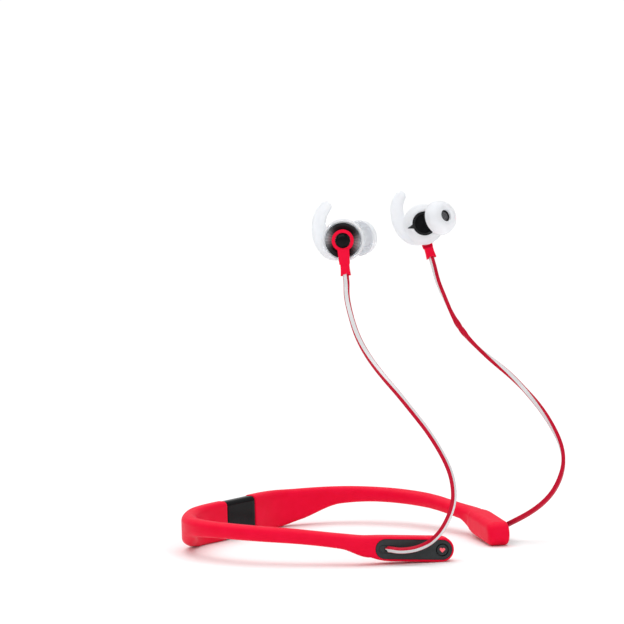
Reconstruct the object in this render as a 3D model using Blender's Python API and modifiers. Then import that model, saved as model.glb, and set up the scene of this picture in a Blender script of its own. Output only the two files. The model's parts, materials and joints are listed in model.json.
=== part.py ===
"""Neckband earphones: a sprung silicone band, a module on each tip, and two
in-ear pieces on flat cables.

Frame: metres, +Z up, +X is the wearer's left, the wearer faces -Y, the open
side of the band. The band rests on Z = 0 on its two modules and its nape.
Lengths below are in millimetres and become metres as each part is placed.
"""
from math import cos, pi, radians, sin

import bmesh
import bpy
import numpy as np
from mathutils import Matrix, Vector

MM = 0.001
GAP = 0.3                     # clearance between neighbouring parts
LEFT, RIGHT = 1, -1
SIDE_NAMES = {LEFT: "left", RIGHT: "right"}

# ---- band: plan position, top, bottom and thickness along the left half ----
BAND = (
    # x,     y,     top,  bottom, thickness
    (0.0,   64.5,  18.2,  0.0,  6.6),
    (16.0,  64.7,  18.2,  0.0,  6.6),
    (30.5,  64.7,  17.9,  0.0,  6.8),
    (44.4,  59.1,  17.4,  2.6,  7.0),
    (59.0,  44.6,  17.4,  9.2,  7.2),
    (64.1,  26.4,  17.2, 10.3,  7.4),
    (61.1,   -1.4,  16.2,  9.6,  7.4),
    (50.8, -27.8,  13.6,  7.0,  7.9),
    (45.3, -38.6,  12.7,  3.2,  8.9),
)
BAND_CORNER = 2.6             # rounding of the band's section
COVER_HALF_WIDTH = 11.0       # the glossy section at the nape
COVER_RECESS = 0.45
FLEX_Y = 35.5                 # where the arms flex
FLEX_GAP = 1.2                # room for the sleeves to close up as an arm opens
CHANNEL = (3.0, 3.8)          # channel through the band: width, height
STRIP = (0.8, 3.0)            # spring steel strip: thickness, height
STRIP_OFFSET = -0.65
WIRE_RADIUS = 0.45
WIRE_OFFSET = 0.8

# ---- module on each tip, in its own frame: x to the tip, y outward, z up ----
MODULE_LENGTH = 36.4
MODULE_HEIGHT = 10.9
MODULE_HALF = 4.9             # half of its thickness
MODULE_MID = MODULE_HEIGHT / 2
MODULE_OUTER_CORNER = 1.4
MODULE_INNER_CORNER = 3.2
MODULE_HEADING = 42.4         # degrees the modules turn in towards each other
MODULE_PITCH = 3.6            # degrees they slope down to their tips
PANEL = (1.6, 35.3, 4.25)     # rear end, front end, half height
PANEL_FACE = 4.8
PANEL_BACK = 3.75
LEDGE = 2.7                   # the panel's seat in the housing
CAVITY = (3.4, 34.5, 3.5)     # rear end, front end, half height
CAVITY_FLOOR = -3.2
BUTTON_X = PANEL[1] - PANEL[2]
BUTTON_PITCH = 6.2
BUTTON_TRAVEL = 0.5
SWITCH_TOP = 1.05             # crown of the dome switch behind each button
BOARD = (-0.9, -0.1)
EXIT = (7.2, 4.9)             # where the cable leaves the panel
EXIT_ANGLE = 40.0             # degrees off the panel's face
PORT_COVER = (12.0, 24.0)     # rear and front end of the charging port's cover
PORT_HALF_HEIGHT = 3.1
PORT_HINGE_IN = 0.55          # the cover's hinge line, in from its rear end
PORT_COVER_BACK = -3.85

# ---- earpiece, in its own frame: x forward, y outward, z up ----
DISH_RADIUS = 7.75
RING_RADIUS = 4.9
HOUSING_RADIUS = 7.2
SLEEVE_RADIUS = 9.3
NOZZLE_ROOT = (1.0, -5.0)
NOZZLE_CANT = 30.0            # degrees between the nozzle and the inward axis
NOZZLE_END = 14.8
BOOT_END = 14.8               # how far the boot reaches below the centre
BOOT_Y = 0.5
EARPIECES = {
    # centre of the dish, heading forward, tilt up, lean back (degrees)
    LEFT: ((38.1, -17.8, 143.3), -39.5, -9.5, 14.0),
    RIGHT: ((-36.3, -23.1, 140.9), 29.0, 0.8, 3.7),
}

# ---- cables: one route for both, seen on the left, from earpiece to module ----
CABLE_RADIUS = 1.2
CABLE_STEP = 6.2
CABLE_ROUTE = (
    (38.0, -25.5, 118.5), (40.0, -28.5, 109.0), (41.3, -32.5, 100.0),
    (42.8, -39.0, 91.0), (45.0, -48.0, 82.5), (47.0, -56.5, 75.5),
    (48.2, -64.5, 68.0), (48.6, -72.0, 60.0), (48.6, -78.5, 51.0),
    (48.3, -82.8, 42.0), (47.7, -83.7, 35.5), (46.5, -82.5, 29.0),
    (45.0, -78.5, 21.5), (42.3, -73.2, 15.8), (39.4, -68.0, 12.0),
)
CABLE_LANDING = (             # the stretch over the module, in its own frame
    (22.5, 10.0, 8.3), (18.8, 8.3, 6.4), (14.5, 7.9, 5.5), (10.8, 7.2, 5.3),
)

COLLECTION = "neckband_earphones"


# ------------------------------------------------------------------ helpers
def clear_scene():
    for obj in list(bpy.data.objects):
        bpy.data.objects.remove(obj)
    collection = bpy.data.collections.new(COLLECTION)
    bpy.context.scene.collection.children.link(collection)
    return collection


def material(name, colour, roughness, metallic=0.0):
    mat = bpy.data.materials.new(name)
    mat.use_nodes = True
    shader = mat.node_tree.nodes["Principled BSDF"]
    shader.inputs["Base Color"].default_value = (*colour, 1.0)
    shader.inputs["Roughness"].default_value = roughness
    shader.inputs["Metallic"].default_value = metallic
    mat.diffuse_color = (*colour, 1.0)
    return mat


def work_object(mesh):
    obj = bpy.data.objects.new("work", mesh)
    bpy.context.scene.collection.objects.link(obj)
    return obj


def discard(obj):
    bpy.data.objects.remove(obj)


def baked(obj):
    """Replace an object by a plain mesh object of its evaluated shape."""
    depsgraph = bpy.context.evaluated_depsgraph_get()
    mesh = bpy.data.meshes.new_from_object(obj.evaluated_get(depsgraph))
    mesh.transform(obj.matrix_world)
    discard(obj)
    bm = bmesh.new()
    bm.from_mesh(mesh)
    bmesh.ops.remove_doubles(bm, verts=bm.verts, dist=0.0005)
    bm.to_mesh(mesh)
    bm.free()
    return work_object(mesh)


def combine(target, tool, operation="DIFFERENCE"):
    modifier = target.modifiers.new("combine", "BOOLEAN")
    modifier.operation = operation
    modifier.object = tool
    bpy.context.view_layer.update()
    result = baked(target)
    discard(tool)
    return result


def moved(obj, matrix):
    obj.data.transform(matrix)
    if matrix.determinant() < 0:
        obj.data.flip_normals()
    return obj


def bevelled(obj, width, segments=2, angle=40.0):
    modifier = obj.modifiers.new("bevel", "BEVEL")
    modifier.width = width
    modifier.segments = segments
    modifier.limit_method = "ANGLE"
    modifier.angle_limit = radians(angle)
    bpy.context.view_layer.update()
    return baked(obj)


def block(low, high, bevel=0.0):
    """A box between two corners."""
    bm = bmesh.new()
    bmesh.ops.create_cube(bm, size=1.0)
    low, high = Vector(low), Vector(high)
    size = high - low
    for vert in bm.verts:
        vert.co = Vector(low[i] + size[i] * (vert.co[i] + 0.5) for i in range(3))
    mesh = bpy.data.meshes.new("block")
    bm.to_mesh(mesh)
    bm.free()
    obj = work_object(mesh)
    return bevelled(obj, bevel) if bevel else obj


def prism(outline, y_low, y_high):
    """A flat outline in x and z, extruded along y."""
    curve = bpy.data.curves.new("outline", "CURVE")
    curve.dimensions = "2D"
    curve.fill_mode = "BOTH"
    curve.extrude = (y_high - y_low) / 2
    for loop in outline:
        spline = curve.splines.new("POLY")
        spline.points.add(len(loop) - 1)
        for point, (x, z) in zip(spline.points, loop):
            point.co = (x, z, 0.0, 1.0)
        spline.use_cyclic_u = True
    obj = bpy.data.objects.new("outline", curve)
    bpy.context.scene.collection.objects.link(obj)
    obj.matrix_world = Matrix.Translation((0, (y_low + y_high) / 2, 0)) @ Matrix.Rotation(pi / 2, 4, "X")
    bpy.context.view_layer.update()
    return baked(obj)


def arc(centre, radius, start, end, steps):
    angles = (radians(start + (end - start) * i / steps) for i in range(steps + 1))
    return [(centre[0] + radius * cos(a), centre[1] + radius * sin(a)) for a in angles]


def stadium(rear, front, half_height, mid=MODULE_MID, steps=7):
    """A long outline with round ends."""
    nose = arc((front - half_height, mid), half_height, -90, 90, steps)
    tail = arc((rear + half_height, mid), half_height, 90, 270, steps)
    return nose + tail


def circle(radius, steps=20, centre=(0.0, 0.0)):
    return arc(centre, radius, 0, 360, steps)[:-1]


def turned(profile, steps=28, closed=False):
    """Turn (radius, height) points about z, outer side from top to bottom."""
    mesh = bpy.data.meshes.new("profile")
    count = len(profile)
    edges = [(i, i + 1) for i in range(count - 1)] + ([(count - 1, 0)] if closed else [])
    mesh.from_pydata([(r, 0.0, h) for r, h in profile], edges, [])
    obj = work_object(mesh)
    screw = obj.modifiers.new("turn", "SCREW")
    screw.steps = screw.render_steps = steps
    screw.use_merge_vertices = True
    screw.merge_threshold = 0.0001
    bpy.context.view_layer.update()
    return baked(obj)


def along_y(obj):
    """Turn a z-axis part so that its top faces +y."""
    return moved(obj, Matrix.Rotation(-pi / 2, 4, "X"))


def loft(rings, close_start=True, close_end=True):
    """Join rings of equal point counts into one closed skin."""
    bm = bmesh.new()
    rows = [[bm.verts.new(point) for point in ring] for ring in rings]
    count = len(rows[0])
    for a, b in zip(rows, rows[1:]):
        for i in range(count):
            j = (i + 1) % count
            bm.faces.new((a[i], a[j], b[j], b[i]))
    if close_start:
        bm.faces.new(rows[0][::-1])
    if close_end:
        bm.faces.new(rows[-1])
    return mesh_object(bm)


def mesh_object(bm):
    bmesh.ops.remove_doubles(bm, verts=bm.verts, dist=0.0005)
    bmesh.ops.recalc_face_normals(bm, faces=bm.faces)
    mesh = bpy.data.meshes.new("skin")
    bm.to_mesh(mesh)
    bm.free()
    return work_object(mesh)


def smooth_curve(points, start_slope=None, end_slope=None):
    """A cubic curve through points, as a function of the distance along them.

    Returns the function and the distances at the points. An end has the
    given direction, or no curvature.
    """
    p = np.array(points, float)
    s = np.concatenate([[0.0], np.cumsum(np.linalg.norm(np.diff(p, axis=0), axis=1))])
    n, h = len(p), np.diff(s)
    a, rhs = np.zeros((n, n)), np.zeros_like(p)
    for i in range(1, n - 1):
        a[i, i - 1:i + 2] = h[i], 2 * (h[i - 1] + h[i]), h[i - 1]
        rhs[i] = 3 * (h[i] * (p[i] - p[i - 1]) / h[i - 1] + h[i - 1] * (p[i + 1] - p[i]) / h[i])
    for row, slope, near in ((0, start_slope, 1), (n - 1, end_slope, n - 2)):
        a[row, row] = 1.0
        if slope is not None:
            rhs[row] = slope
        else:
            a[row, near] = 0.5
            rhs[row] = 1.5 * (p[near] - p[row]) / (s[near] - s[row])
    m = np.linalg.solve(a, rhs)

    def at(distance):
        i = int(np.clip(np.searchsorted(s, distance) - 1, 0, n - 2))
        t = (distance - s[i]) / h[i]
        place = ((1 + 2 * t) * (1 - t) ** 2 * p[i] + t * (1 - t) ** 2 * h[i] * m[i]
                 + t * t * (3 - 2 * t) * p[i + 1] + t * t * (t - 1) * h[i] * m[i + 1])
        return place
    return at, s


def monotone(s, values):
    """Interpolate without overshoot between values at distances s."""
    v = np.array(values, float)
    h, d = np.diff(s), np.diff(v) / np.diff(s)
    m = np.zeros(len(v))
    for i in range(1, len(v) - 1):
        if d[i - 1] * d[i] > 0:
            m[i] = 2 * d[i - 1] * d[i] / (d[i - 1] + d[i])

    def at(distance):
        i = int(np.clip(np.searchsorted(s, distance) - 1, 0, len(v) - 2))
        t = (distance - s[i]) / h[i]
        return float((1 + 2 * t) * (1 - t) ** 2 * v[i] + t * (1 - t) ** 2 * h[i] * m[i]
                     + t * t * (3 - 2 * t) * v[i + 1] + t * t * (t - 1) * h[i] * m[i + 1])
    return at


def tube(points, radius, resolution=2):
    curve = bpy.data.curves.new("tube", "CURVE")
    curve.dimensions = "3D"
    curve.bevel_depth = radius
    curve.bevel_resolution = resolution
    curve.use_fill_caps = True
    spline = curve.splines.new("POLY")
    spline.points.add(len(points) - 1)
    for point, place in zip(spline.points, points):
        point.co = (*place, 1.0)
    obj = bpy.data.objects.new("tube", curve)
    bpy.context.scene.collection.objects.link(obj)
    bpy.context.view_layer.update()
    return baked(obj)


class Assembly:
    """Places finished shapes as named parts in the collection."""

    def __init__(self, collection):
        self.collection = collection
        self.pivots = {}

    def pivot(self, name, place):
        empty = bpy.data.objects.new(name, None)
        empty.location = Vector(place) * MM
        self.collection.objects.link(empty)
        self.pivots[name] = empty

    def add(self, name, shape, mat, matrix=None, origin=None, parent=None, smooth=True):
        matrix = matrix or Matrix.Identity(4)
        moved(shape, matrix)
        origin = Vector(origin) if origin is not None else Vector()
        shape.data.transform(Matrix.Scale(MM, 4) @ Matrix.Translation(-origin))
        shape.name = shape.data.name = name
        shape.location = origin * MM
        for old in list(shape.users_collection):
            old.objects.unlink(shape)
        self.collection.objects.link(shape)
        shape.data.materials.clear()
        shape.data.materials.append(mat)
        if smooth:
            shape.data.shade_smooth()
            shape.data.set_sharp_from_angle(angle=radians(35))
        if parent:
            bpy.context.view_layer.update()
            shape.parent = self.pivots[parent]
            shape.matrix_parent_inverse = self.pivots[parent].matrix_world.inverted()
        return shape


def mirror_x(side):
    return Matrix.Diagonal((side, 1, 1, 1))


# --------------------------------------------------------------- the band
HEADING = radians(MODULE_HEADING)
PITCH = radians(MODULE_PITCH)
MODULE_PLAN = Vector((-sin(HEADING), -cos(HEADING), 0))
MODULE_OUT = Vector((cos(HEADING), -sin(HEADING), 0))
MODULE_AXIS = MODULE_PLAN * cos(PITCH) - Vector((0, 0, sin(PITCH)))
MODULE_UP = MODULE_PLAN * sin(PITCH) + Vector((0, 0, cos(PITCH)))
# the round tip rests on the ground, which sets the height of the rear end
TIP_CENTRE = MODULE_LENGTH - MODULE_MID
MODULE_LIFT = MODULE_MID + TIP_CENTRE * sin(PITCH) - MODULE_MID * cos(PITCH)
MODULE_START = Vector((BAND[-1][0], BAND[-1][1], MODULE_LIFT))
MODULE_FRAME = Matrix((MODULE_AXIS, MODULE_OUT, MODULE_UP)).transposed().to_4x4()
MODULE_FRAME.translation = MODULE_START
BAND_LINE, BAND_AT = smooth_curve([row[:2] for row in BAND], (1, 0), MODULE_PLAN[:2])
BAND_TOP = monotone(BAND_AT, [row[2] for row in BAND])
BAND_BOTTOM = monotone(BAND_AT, [row[3] for row in BAND])
BAND_THICKNESS = monotone(BAND_AT, [row[4] for row in BAND])
BAND_END = BAND_AT[-1]
ENTRY_Z = ((BAND[-1][2] + BAND[-1][3]) / 2 - MODULE_LIFT) / cos(PITCH)   # the band's middle


def band_frame(distance):
    """Centre, direction and outward normal at a distance from the nape."""
    step = 0.05
    on_band = min(distance, BAND_END)
    direction = BAND_LINE(min(on_band + step, BAND_END)) - BAND_LINE(max(on_band - step, 0))
    direction /= np.linalg.norm(direction)
    centre = BAND_LINE(on_band) + direction * (distance - on_band)
    # the line runs from +y round to -y on the left side, so out is to its left
    return centre, direction, np.array((-direction[1], direction[0]))


def flex_distance():
    """Distance along the band at which it crosses FLEX_Y."""
    low, high = BAND_AT[4], BAND_AT[5]
    while high - low > 0.001:
        mid = (low + high) / 2
        low, high = (mid, high) if BAND_LINE(mid)[1] > FLEX_Y else (low, mid)
    return low


FLEX_AT = flex_distance()


def section(inner, outer, bottom, top, r_inner, r_outer, steps=3):
    """A rounded box in (out, z), starting at the middle of its outer side."""
    mid, half = (top + bottom) / 2, (top - bottom) / 2
    r_in = min(r_inner, half, (inner + outer) / 2)
    r_out = min(r_outer, half, (inner + outer) / 2)
    points = [(outer, mid)]
    points += arc((outer - r_out, top - r_out), r_out, 0, 90, steps)
    points += arc((-inner + r_in, top - r_in), r_in, 90, 180, steps)
    points += [(-inner, mid)]
    points += arc((-inner + r_in, bottom + r_in), r_in, 180, 270, steps)
    points += arc((outer - r_out, bottom + r_out), r_out, 270, 360, steps)
    return points


def band_ring(distance, outline):
    centre, _, out = band_frame(distance)
    return [(centre[0] + out[0] * o, centre[1] + out[1] * o, z) for o, z in outline]


def band_outline(distance, recess=0.0):
    distance = min(distance, BAND_END)
    half = BAND_THICKNESS(distance) / 2 - recess
    top, bottom = BAND_TOP(distance) - recess, BAND_BOTTOM(distance) + recess
    return section(half, half, bottom, top, BAND_CORNER, BAND_CORNER)


def band_mid(distance):
    distance = min(distance, BAND_END)
    return (BAND_TOP(distance) + BAND_BOTTOM(distance)) / 2


def box_outline(distance, half_width, half_height, offset=0.0):
    mid = band_mid(distance)
    return [(offset + half_width, mid - half_height), (offset + half_width, mid + half_height),
            (offset - half_width, mid + half_height), (offset - half_width, mid - half_height)]


def stations(start, end, spacing=6.0):
    count = max(2, round((end - start) / spacing))
    return [start + (end - start) * i / count for i in range(count + 1)]


def channel(start, end):
    half_width, half_height = CHANNEL[0] / 2, CHANNEL[1] / 2
    return loft([band_ring(d, box_outline(d, half_width, half_height)) for d in stations(start, end)])


def sleeve(start, end):
    """A stretch of the silicone band with its channel."""
    skin = loft([band_ring(d, band_outline(d)) for d in stations(start, end)])
    return combine(skin, channel(start - 0.4, end + 0.4))


def nape_ring(x, outline):
    """A ring across the straight nape, on either side of its centre."""
    y = BAND_LINE(abs(x))[1]
    return [(x, y + o, z) for o, z in outline]


def strip(start, end):
    half_t, half_h = STRIP[0] / 2, STRIP[1] / 2
    return loft([band_ring(d, box_outline(d, half_t, half_h, STRIP_OFFSET)) for d in stations(start, end)])


def wire_points(start, end, spacing=9.0):
    points = []
    for d in stations(start, end, spacing):
        centre, _, out = band_frame(d)
        points.append((centre[0] + out[0] * WIRE_OFFSET, centre[1] + out[1] * WIRE_OFFSET, band_mid(d)))
    return points


def both_halves(points):
    return [(-x, y, z) for x, y, z in points[:0:-1]] + list(points)


def make_nape(parts, mats):
    """The fixed middle of the band."""
    xs = (-COVER_HALF_WIDTH, -5.5, 0.0, 5.5, COVER_HALF_WIDTH)
    cover = loft([nape_ring(x, band_outline(abs(x), COVER_RECESS)) for x in xs])
    half_width, half_height = CHANNEL[0] / 2, CHANNEL[1] / 2
    bore = loft([nape_ring(x, box_outline(abs(x), half_width, half_height)) for x in (-12, 0, 12)])
    parts.add("nape_cover", combine(cover, bore), mats["gloss"])

    end = FLEX_AT - FLEX_GAP / 2
    for side, name in SIDE_NAMES.items():
        parts.add(f"nape_sleeve_{name}", sleeve(COVER_HALF_WIDTH + GAP, end), mats["silicone"],
                  mirror_x(side))
    outline = [band_ring(d, box_outline(d, STRIP[0] / 2, STRIP[1] / 2, STRIP_OFFSET))
               for d in stations(0, FLEX_AT - GAP / 2)]
    mirrored = [[(-x, y, z) for x, y, z in ring] for ring in outline[:0:-1]]
    parts.add("nape_spring", loft(mirrored + outline), mats["steel"])
    wire = both_halves(wire_points(0, FLEX_AT - GAP))
    parts.add("nape_harness", tube(wire, WIRE_RADIUS), mats["wire"])


def make_arm(parts, mats, side):
    """The flexing arm up to its module."""
    name, pivot = SIDE_NAMES[side], f"{SIDE_NAMES[side]}_arm_pivot"
    mirror = mirror_x(side)
    arm = sleeve(FLEX_AT + FLEX_GAP / 2, BAND_END + 0.8)
    trim = moved(block((-GAP, -12, -12), (6, 12, 24)), MODULE_FRAME)
    arm = combine(arm, trim)
    parts.add(f"arm_sleeve_{name}", arm, mats["silicone"], mirror, parent=pivot)
    half_t, half_h = STRIP[0] / 2, STRIP[1] / 2
    rings = [band_ring(d, box_outline(d, half_t, half_h, STRIP_OFFSET))
             for d in stations(FLEX_AT + GAP / 2, BAND_END)]
    corners = ((half_t, -half_h), (half_t, half_h), (-half_t, half_h), (-half_t, -half_h))
    rings.append([MODULE_FRAME @ Vector((CAVITY[0] + 1.0, STRIP_OFFSET + o, ENTRY_Z + z))
                  for o, z in corners])
    parts.add(f"arm_spring_{name}", loft(rings), mats["steel"], mirror, parent=pivot)
    wire = wire_points(FLEX_AT + GAP, BAND_END)
    wire.append(tuple(MODULE_FRAME @ Vector((CAVITY[0] + 1.0, WIRE_OFFSET, ENTRY_Z))))
    parts.add(f"arm_harness_{name}", tube(wire, WIRE_RADIUS), mats["wire"], mirror, parent=pivot)


# -------------------------------------------------------------- the modules
def module_outline(x):
    """Section of the module at a distance from its rear end."""
    start_half = BAND[-1][4] / 2
    start_top, start_bottom = BAND[-1][2] - MODULE_LIFT, BAND[-1][3] - MODULE_LIFT
    grow = min(x / 3.0, 1.0)
    dip = min(x / 9.0, 1.0)
    ease_grow, ease_dip = grow * grow * (3 - 2 * grow), 1 - (1 - dip) ** 2
    half = start_half + (MODULE_HALF - start_half) * ease_grow
    top = start_top + (MODULE_HEIGHT - start_top) * ease_dip
    bottom = start_bottom * (1 - ease_dip)
    r_in = BAND_CORNER + (MODULE_INNER_CORNER - BAND_CORNER) * ease_grow
    r_out = BAND_CORNER + (MODULE_OUTER_CORNER - BAND_CORNER) * ease_grow
    return section(half, half, bottom, top, r_in, r_out)


def module_body():
    """The module's outer form: a run of sections and a half-turned round tip."""
    tip = TIP_CENTRE
    places = [0, 1, 2, 3, 4.5, 6, 7.5, 9, 18, tip]
    bm = bmesh.new()
    rows = [[bm.verts.new((x, o, z)) for o, z in module_outline(x)] for x in places]
    count = len(rows[0])
    for a, b in zip(rows, rows[1:]):
        for i in range(count):
            j = (i + 1) % count
            bm.faces.new((a[i], a[j], b[j], b[i]))
    bm.faces.new(rows[0][::-1])
    half = module_outline(tip)[:count // 2 + 1]
    steps = 12
    fans = []
    for k in range(steps + 1):
        turn = pi * k / steps
        fans.append([bm.verts.new((tip + (z - MODULE_MID) * sin(turn), o, MODULE_MID + (z - MODULE_MID) * cos(turn)))
                     for o, z in half])
    for a, b in zip(fans, fans[1:]):
        for i in range(len(half) - 1):
            bm.faces.new((a[i], a[i + 1], b[i + 1], b[i]))
    bmesh.ops.remove_doubles(bm, verts=bm.verts, dist=0.0005)
    bmesh.ops.dissolve_degenerate(bm, dist=0.0005, edges=bm.edges)
    return mesh_object(bm)


def slot_for_exit():
    """The opening in the panel around the grommet and the cable."""
    return prism([stadium(3.0, 10.2, 1.8)], LEDGE - 1.0, PANEL_FACE + 1.0)


def tilted_block(start, end, half_width, half_thickness, bevel=0.0):
    """A block along the cable's exit direction, between two distances."""
    shape = block((start, -half_thickness, -half_width), (end, half_thickness, half_width), bevel)
    turn = Matrix.Rotation(radians(EXIT_ANGLE), 4, "Z")
    return moved(shape, Matrix.Translation((EXIT[0], EXIT[1], MODULE_MID)) @ turn)


def make_housing(parts, mats, side):
    name, pivot = SIDE_NAMES[side], f"{SIDE_NAMES[side]}_arm_pivot"
    shell = module_body()
    shell = combine(shell, prism([stadium(PANEL[0] - GAP, PANEL[1] + GAP, PANEL[2] + GAP)],
                                 LEDGE, MODULE_HALF + 1))
    shell = combine(shell, prism([stadium(*CAVITY)], CAVITY_FLOOR, LEDGE + 1))
    half_height = CHANNEL[1] / 2
    shell = combine(shell, block((-1, -CHANNEL[0] / 2, ENTRY_Z - half_height),
                                 (CAVITY[0] + 2, CHANNEL[0] / 2, ENTRY_Z + half_height)))
    if side == RIGHT:
        rear, front = PORT_COVER
        window = block((rear - GAP, -MODULE_HALF - 1, MODULE_MID - PORT_HALF_HEIGHT - GAP),
                       (front + GAP, PORT_COVER_BACK + GAP, MODULE_MID + PORT_HALF_HEIGHT + GAP))
        shell = combine(shell, window)
        socket = block((13.9, -MODULE_HALF, MODULE_MID - 1.7), (22.1, CAVITY_FLOOR + 1, MODULE_MID + 1.7))
        shell = combine(shell, socket)
    else:
        port = along_y(turned([(0, 3.0), (0.5, 3.0), (0.5, -3.0), (0, -3.0)], 12))
        moved(port, Matrix.Translation((28.0, 0, 0)) @ Matrix.Rotation(pi / 2, 4, "X"))
        shell = combine(shell, port)
    parts.add(f"module_housing_{name}", shell, mats["silicone"], mirror_x(side) @ MODULE_FRAME, parent=pivot)


def make_panel(parts, mats, side, button_places, hole_radius):
    """The dark inlay, its gasket, and the grommet the cable comes out of."""
    name, pivot = SIDE_NAMES[side], f"{SIDE_NAMES[side]}_arm_pivot"
    place = mirror_x(side) @ MODULE_FRAME
    plate = bevelled(prism([stadium(*PANEL)], PANEL_BACK, PANEL_FACE), 0.25, 1)
    for x in button_places:
        plate = combine(plate, prism([circle(hole_radius, 16, (x, MODULE_MID))], LEDGE, MODULE_HALF + 1))
    plate = combine(plate, slot_for_exit())
    parts.add(f"control_panel_{name}", plate, mats["panel"], place, parent=pivot)

    outer = stadium(PANEL[0] + 0.2, PANEL[1] - 0.2, PANEL[2] - 0.2)
    inner = stadium(PANEL[0] + 1.0, PANEL[1] - 1.0, PANEL[2] - 1.0)
    gasket = prism([outer, inner[::-1]], LEDGE + 0.25, PANEL_BACK - GAP)
    parts.add(f"panel_gasket_{name}", gasket, mats["rubber"], place, parent=pivot)
    grommet = tilted_block(-3.9, -GAP, 1.35, 0.95, 0.3)
    parts.add(f"cable_grommet_{name}", grommet, mats["rubber"], place, parent=pivot)


def make_board(parts, mats, side):
    name, pivot = SIDE_NAMES[side], f"{SIDE_NAMES[side]}_arm_pivot"
    board = prism([stadium(CAVITY[0] + 1.9, CAVITY[1] - 0.5, CAVITY[2] - 0.5)], *BOARD)
    parts.add(f"circuit_board_{name}", board, mats["board"], mirror_x(side) @ MODULE_FRAME, parent=pivot)


def button_shape(radius):
    """A cap with a flange behind the panel and a stem to its switch."""
    flange, stem = radius + 0.55, SWITCH_TOP + BUTTON_TRAVEL + 0.2
    profile = [(0, 4.95), (radius - 0.25, 4.95), (radius, 4.7), (radius, 3.45), (flange, 3.45),
               (flange, 3.0), (1.0, 3.0), (1.0, stem), (0, stem)]
    return along_y(turned(profile, 16))


def make_button(parts, mats, side, button_name, x, radius, mat):
    """A button and the dome switch that it presses."""
    place = mirror_x(side) @ MODULE_FRAME
    shape = moved(button_shape(radius), Matrix.Translation((x, 0, MODULE_MID)))
    origin = place @ Vector((x, PANEL_FACE, MODULE_MID))
    pivot = f"{SIDE_NAMES[side]}_arm_pivot"
    button = parts.add(button_name, shape, mats[mat], place, origin, parent=pivot)
    switch = block((x - 1.5, BOARD[1] + GAP, MODULE_MID - 1.5),
                   (x + 1.5, SWITCH_TOP - GAP, MODULE_MID + 1.5))
    dome = along_y(turned([(0, SWITCH_TOP), (0.9, SWITCH_TOP - 0.05), (1.1, 0.5), (0, 0.5)], 16))
    moved(dome, Matrix.Translation((x, 0, MODULE_MID)))
    switch = combine(switch, dome, "UNION")
    parts.add(button_name.replace("button", "switch"), switch, mats["steel"], place, parent=pivot)
    return button


def heart_outline(width, centre, steps=7):
    """Two round lobes and a point below them."""
    lobe = width / 4
    points = arc((lobe, 0), lobe, -30, 180, steps) + arc((-lobe, 0), lobe, 0, 210, steps)[1:]
    points.append((0, -width * 0.62))
    return [(centre[0] + x, centre[1] + z + width * 0.12) for x, z in points]


def make_right_module(parts, mats):
    """Pulse button, charging port and main board."""
    side, pivot = RIGHT, "right_arm_pivot"
    place = mirror_x(side) @ MODULE_FRAME
    make_housing(parts, mats, side)
    make_panel(parts, mats, side, [BUTTON_X], 2.85)
    make_board(parts, mats, side)
    button = make_button(parts, mats, side, "heart_button", BUTTON_X, 2.4, "button")
    centre = (BUTTON_X, MODULE_MID)
    pocket = moved(prism([heart_outline(3.1, centre)], 4.3, 6.0), place)
    pocket.data.transform(Matrix.Scale(MM, 4) @ Matrix.Translation(-button.location / MM))
    pocket.matrix_world = button.matrix_world
    modifier = button.modifiers.new("pocket", "BOOLEAN")
    modifier.object = pocket
    pocket.name = "heart_pocket_cutter"
    pocket.hide_render = True
    pocket.display_type = "WIRE"
    light = prism([heart_outline(2.5, centre)], 4.5, 5.0)
    origin = place @ Vector((BUTTON_X, PANEL_FACE, MODULE_MID))
    parts.add("heart_light", light, mats["heart"], place, origin, parent=pivot)

    chip = block((25.5, -2.6, MODULE_MID - 2.7), (31.5, BOARD[0] - GAP, MODULE_MID + 2.7), 0.2)
    parts.add("radio_shield", chip, mats["steel"], place, parent=pivot)
    socket = block((14.2, -3.5, MODULE_MID - 1.4), (21.8, BOARD[0] - GAP, MODULE_MID + 1.4), 0.2)
    mouth = block((14.8, -4.0, MODULE_MID - 0.9), (21.2, -1.9, MODULE_MID + 0.9))
    socket = combine(socket, mouth)
    tongue = block((15.8, -3.2, MODULE_MID + 0.1), (20.2, -1.7, MODULE_MID + 0.55))
    parts.add("charging_socket", combine(socket, tongue, "UNION"), mats["steel"], place, parent=pivot)
    make_port_cover(parts, mats, place)


def make_port_cover(parts, mats, place):
    """A flap cut from the module's own inner surface, hinged at its rear end."""
    rear, front = PORT_COVER
    low = (rear, -MODULE_HALF - 1, MODULE_MID - PORT_HALF_HEIGHT)
    high = (front, PORT_COVER_BACK, MODULE_MID + PORT_HALF_HEIGHT)
    cover = combine(module_body(), block(low, high), "INTERSECT")
    grip = along_y(turned([(0, 0.4), (0.9, 0.4), (0.9, -0.4), (0, -0.4)], 12))
    moved(grip, Matrix.Translation((front, -MODULE_HALF - 0.1, MODULE_MID)))
    cover = combine(cover, grip)
    hinge = place @ Vector((rear + PORT_HINGE_IN, PORT_COVER_BACK - 0.5, MODULE_MID))
    parts.add("port_cover", cover, mats["silicone"], place, hinge, parent="right_arm_pivot")


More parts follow.
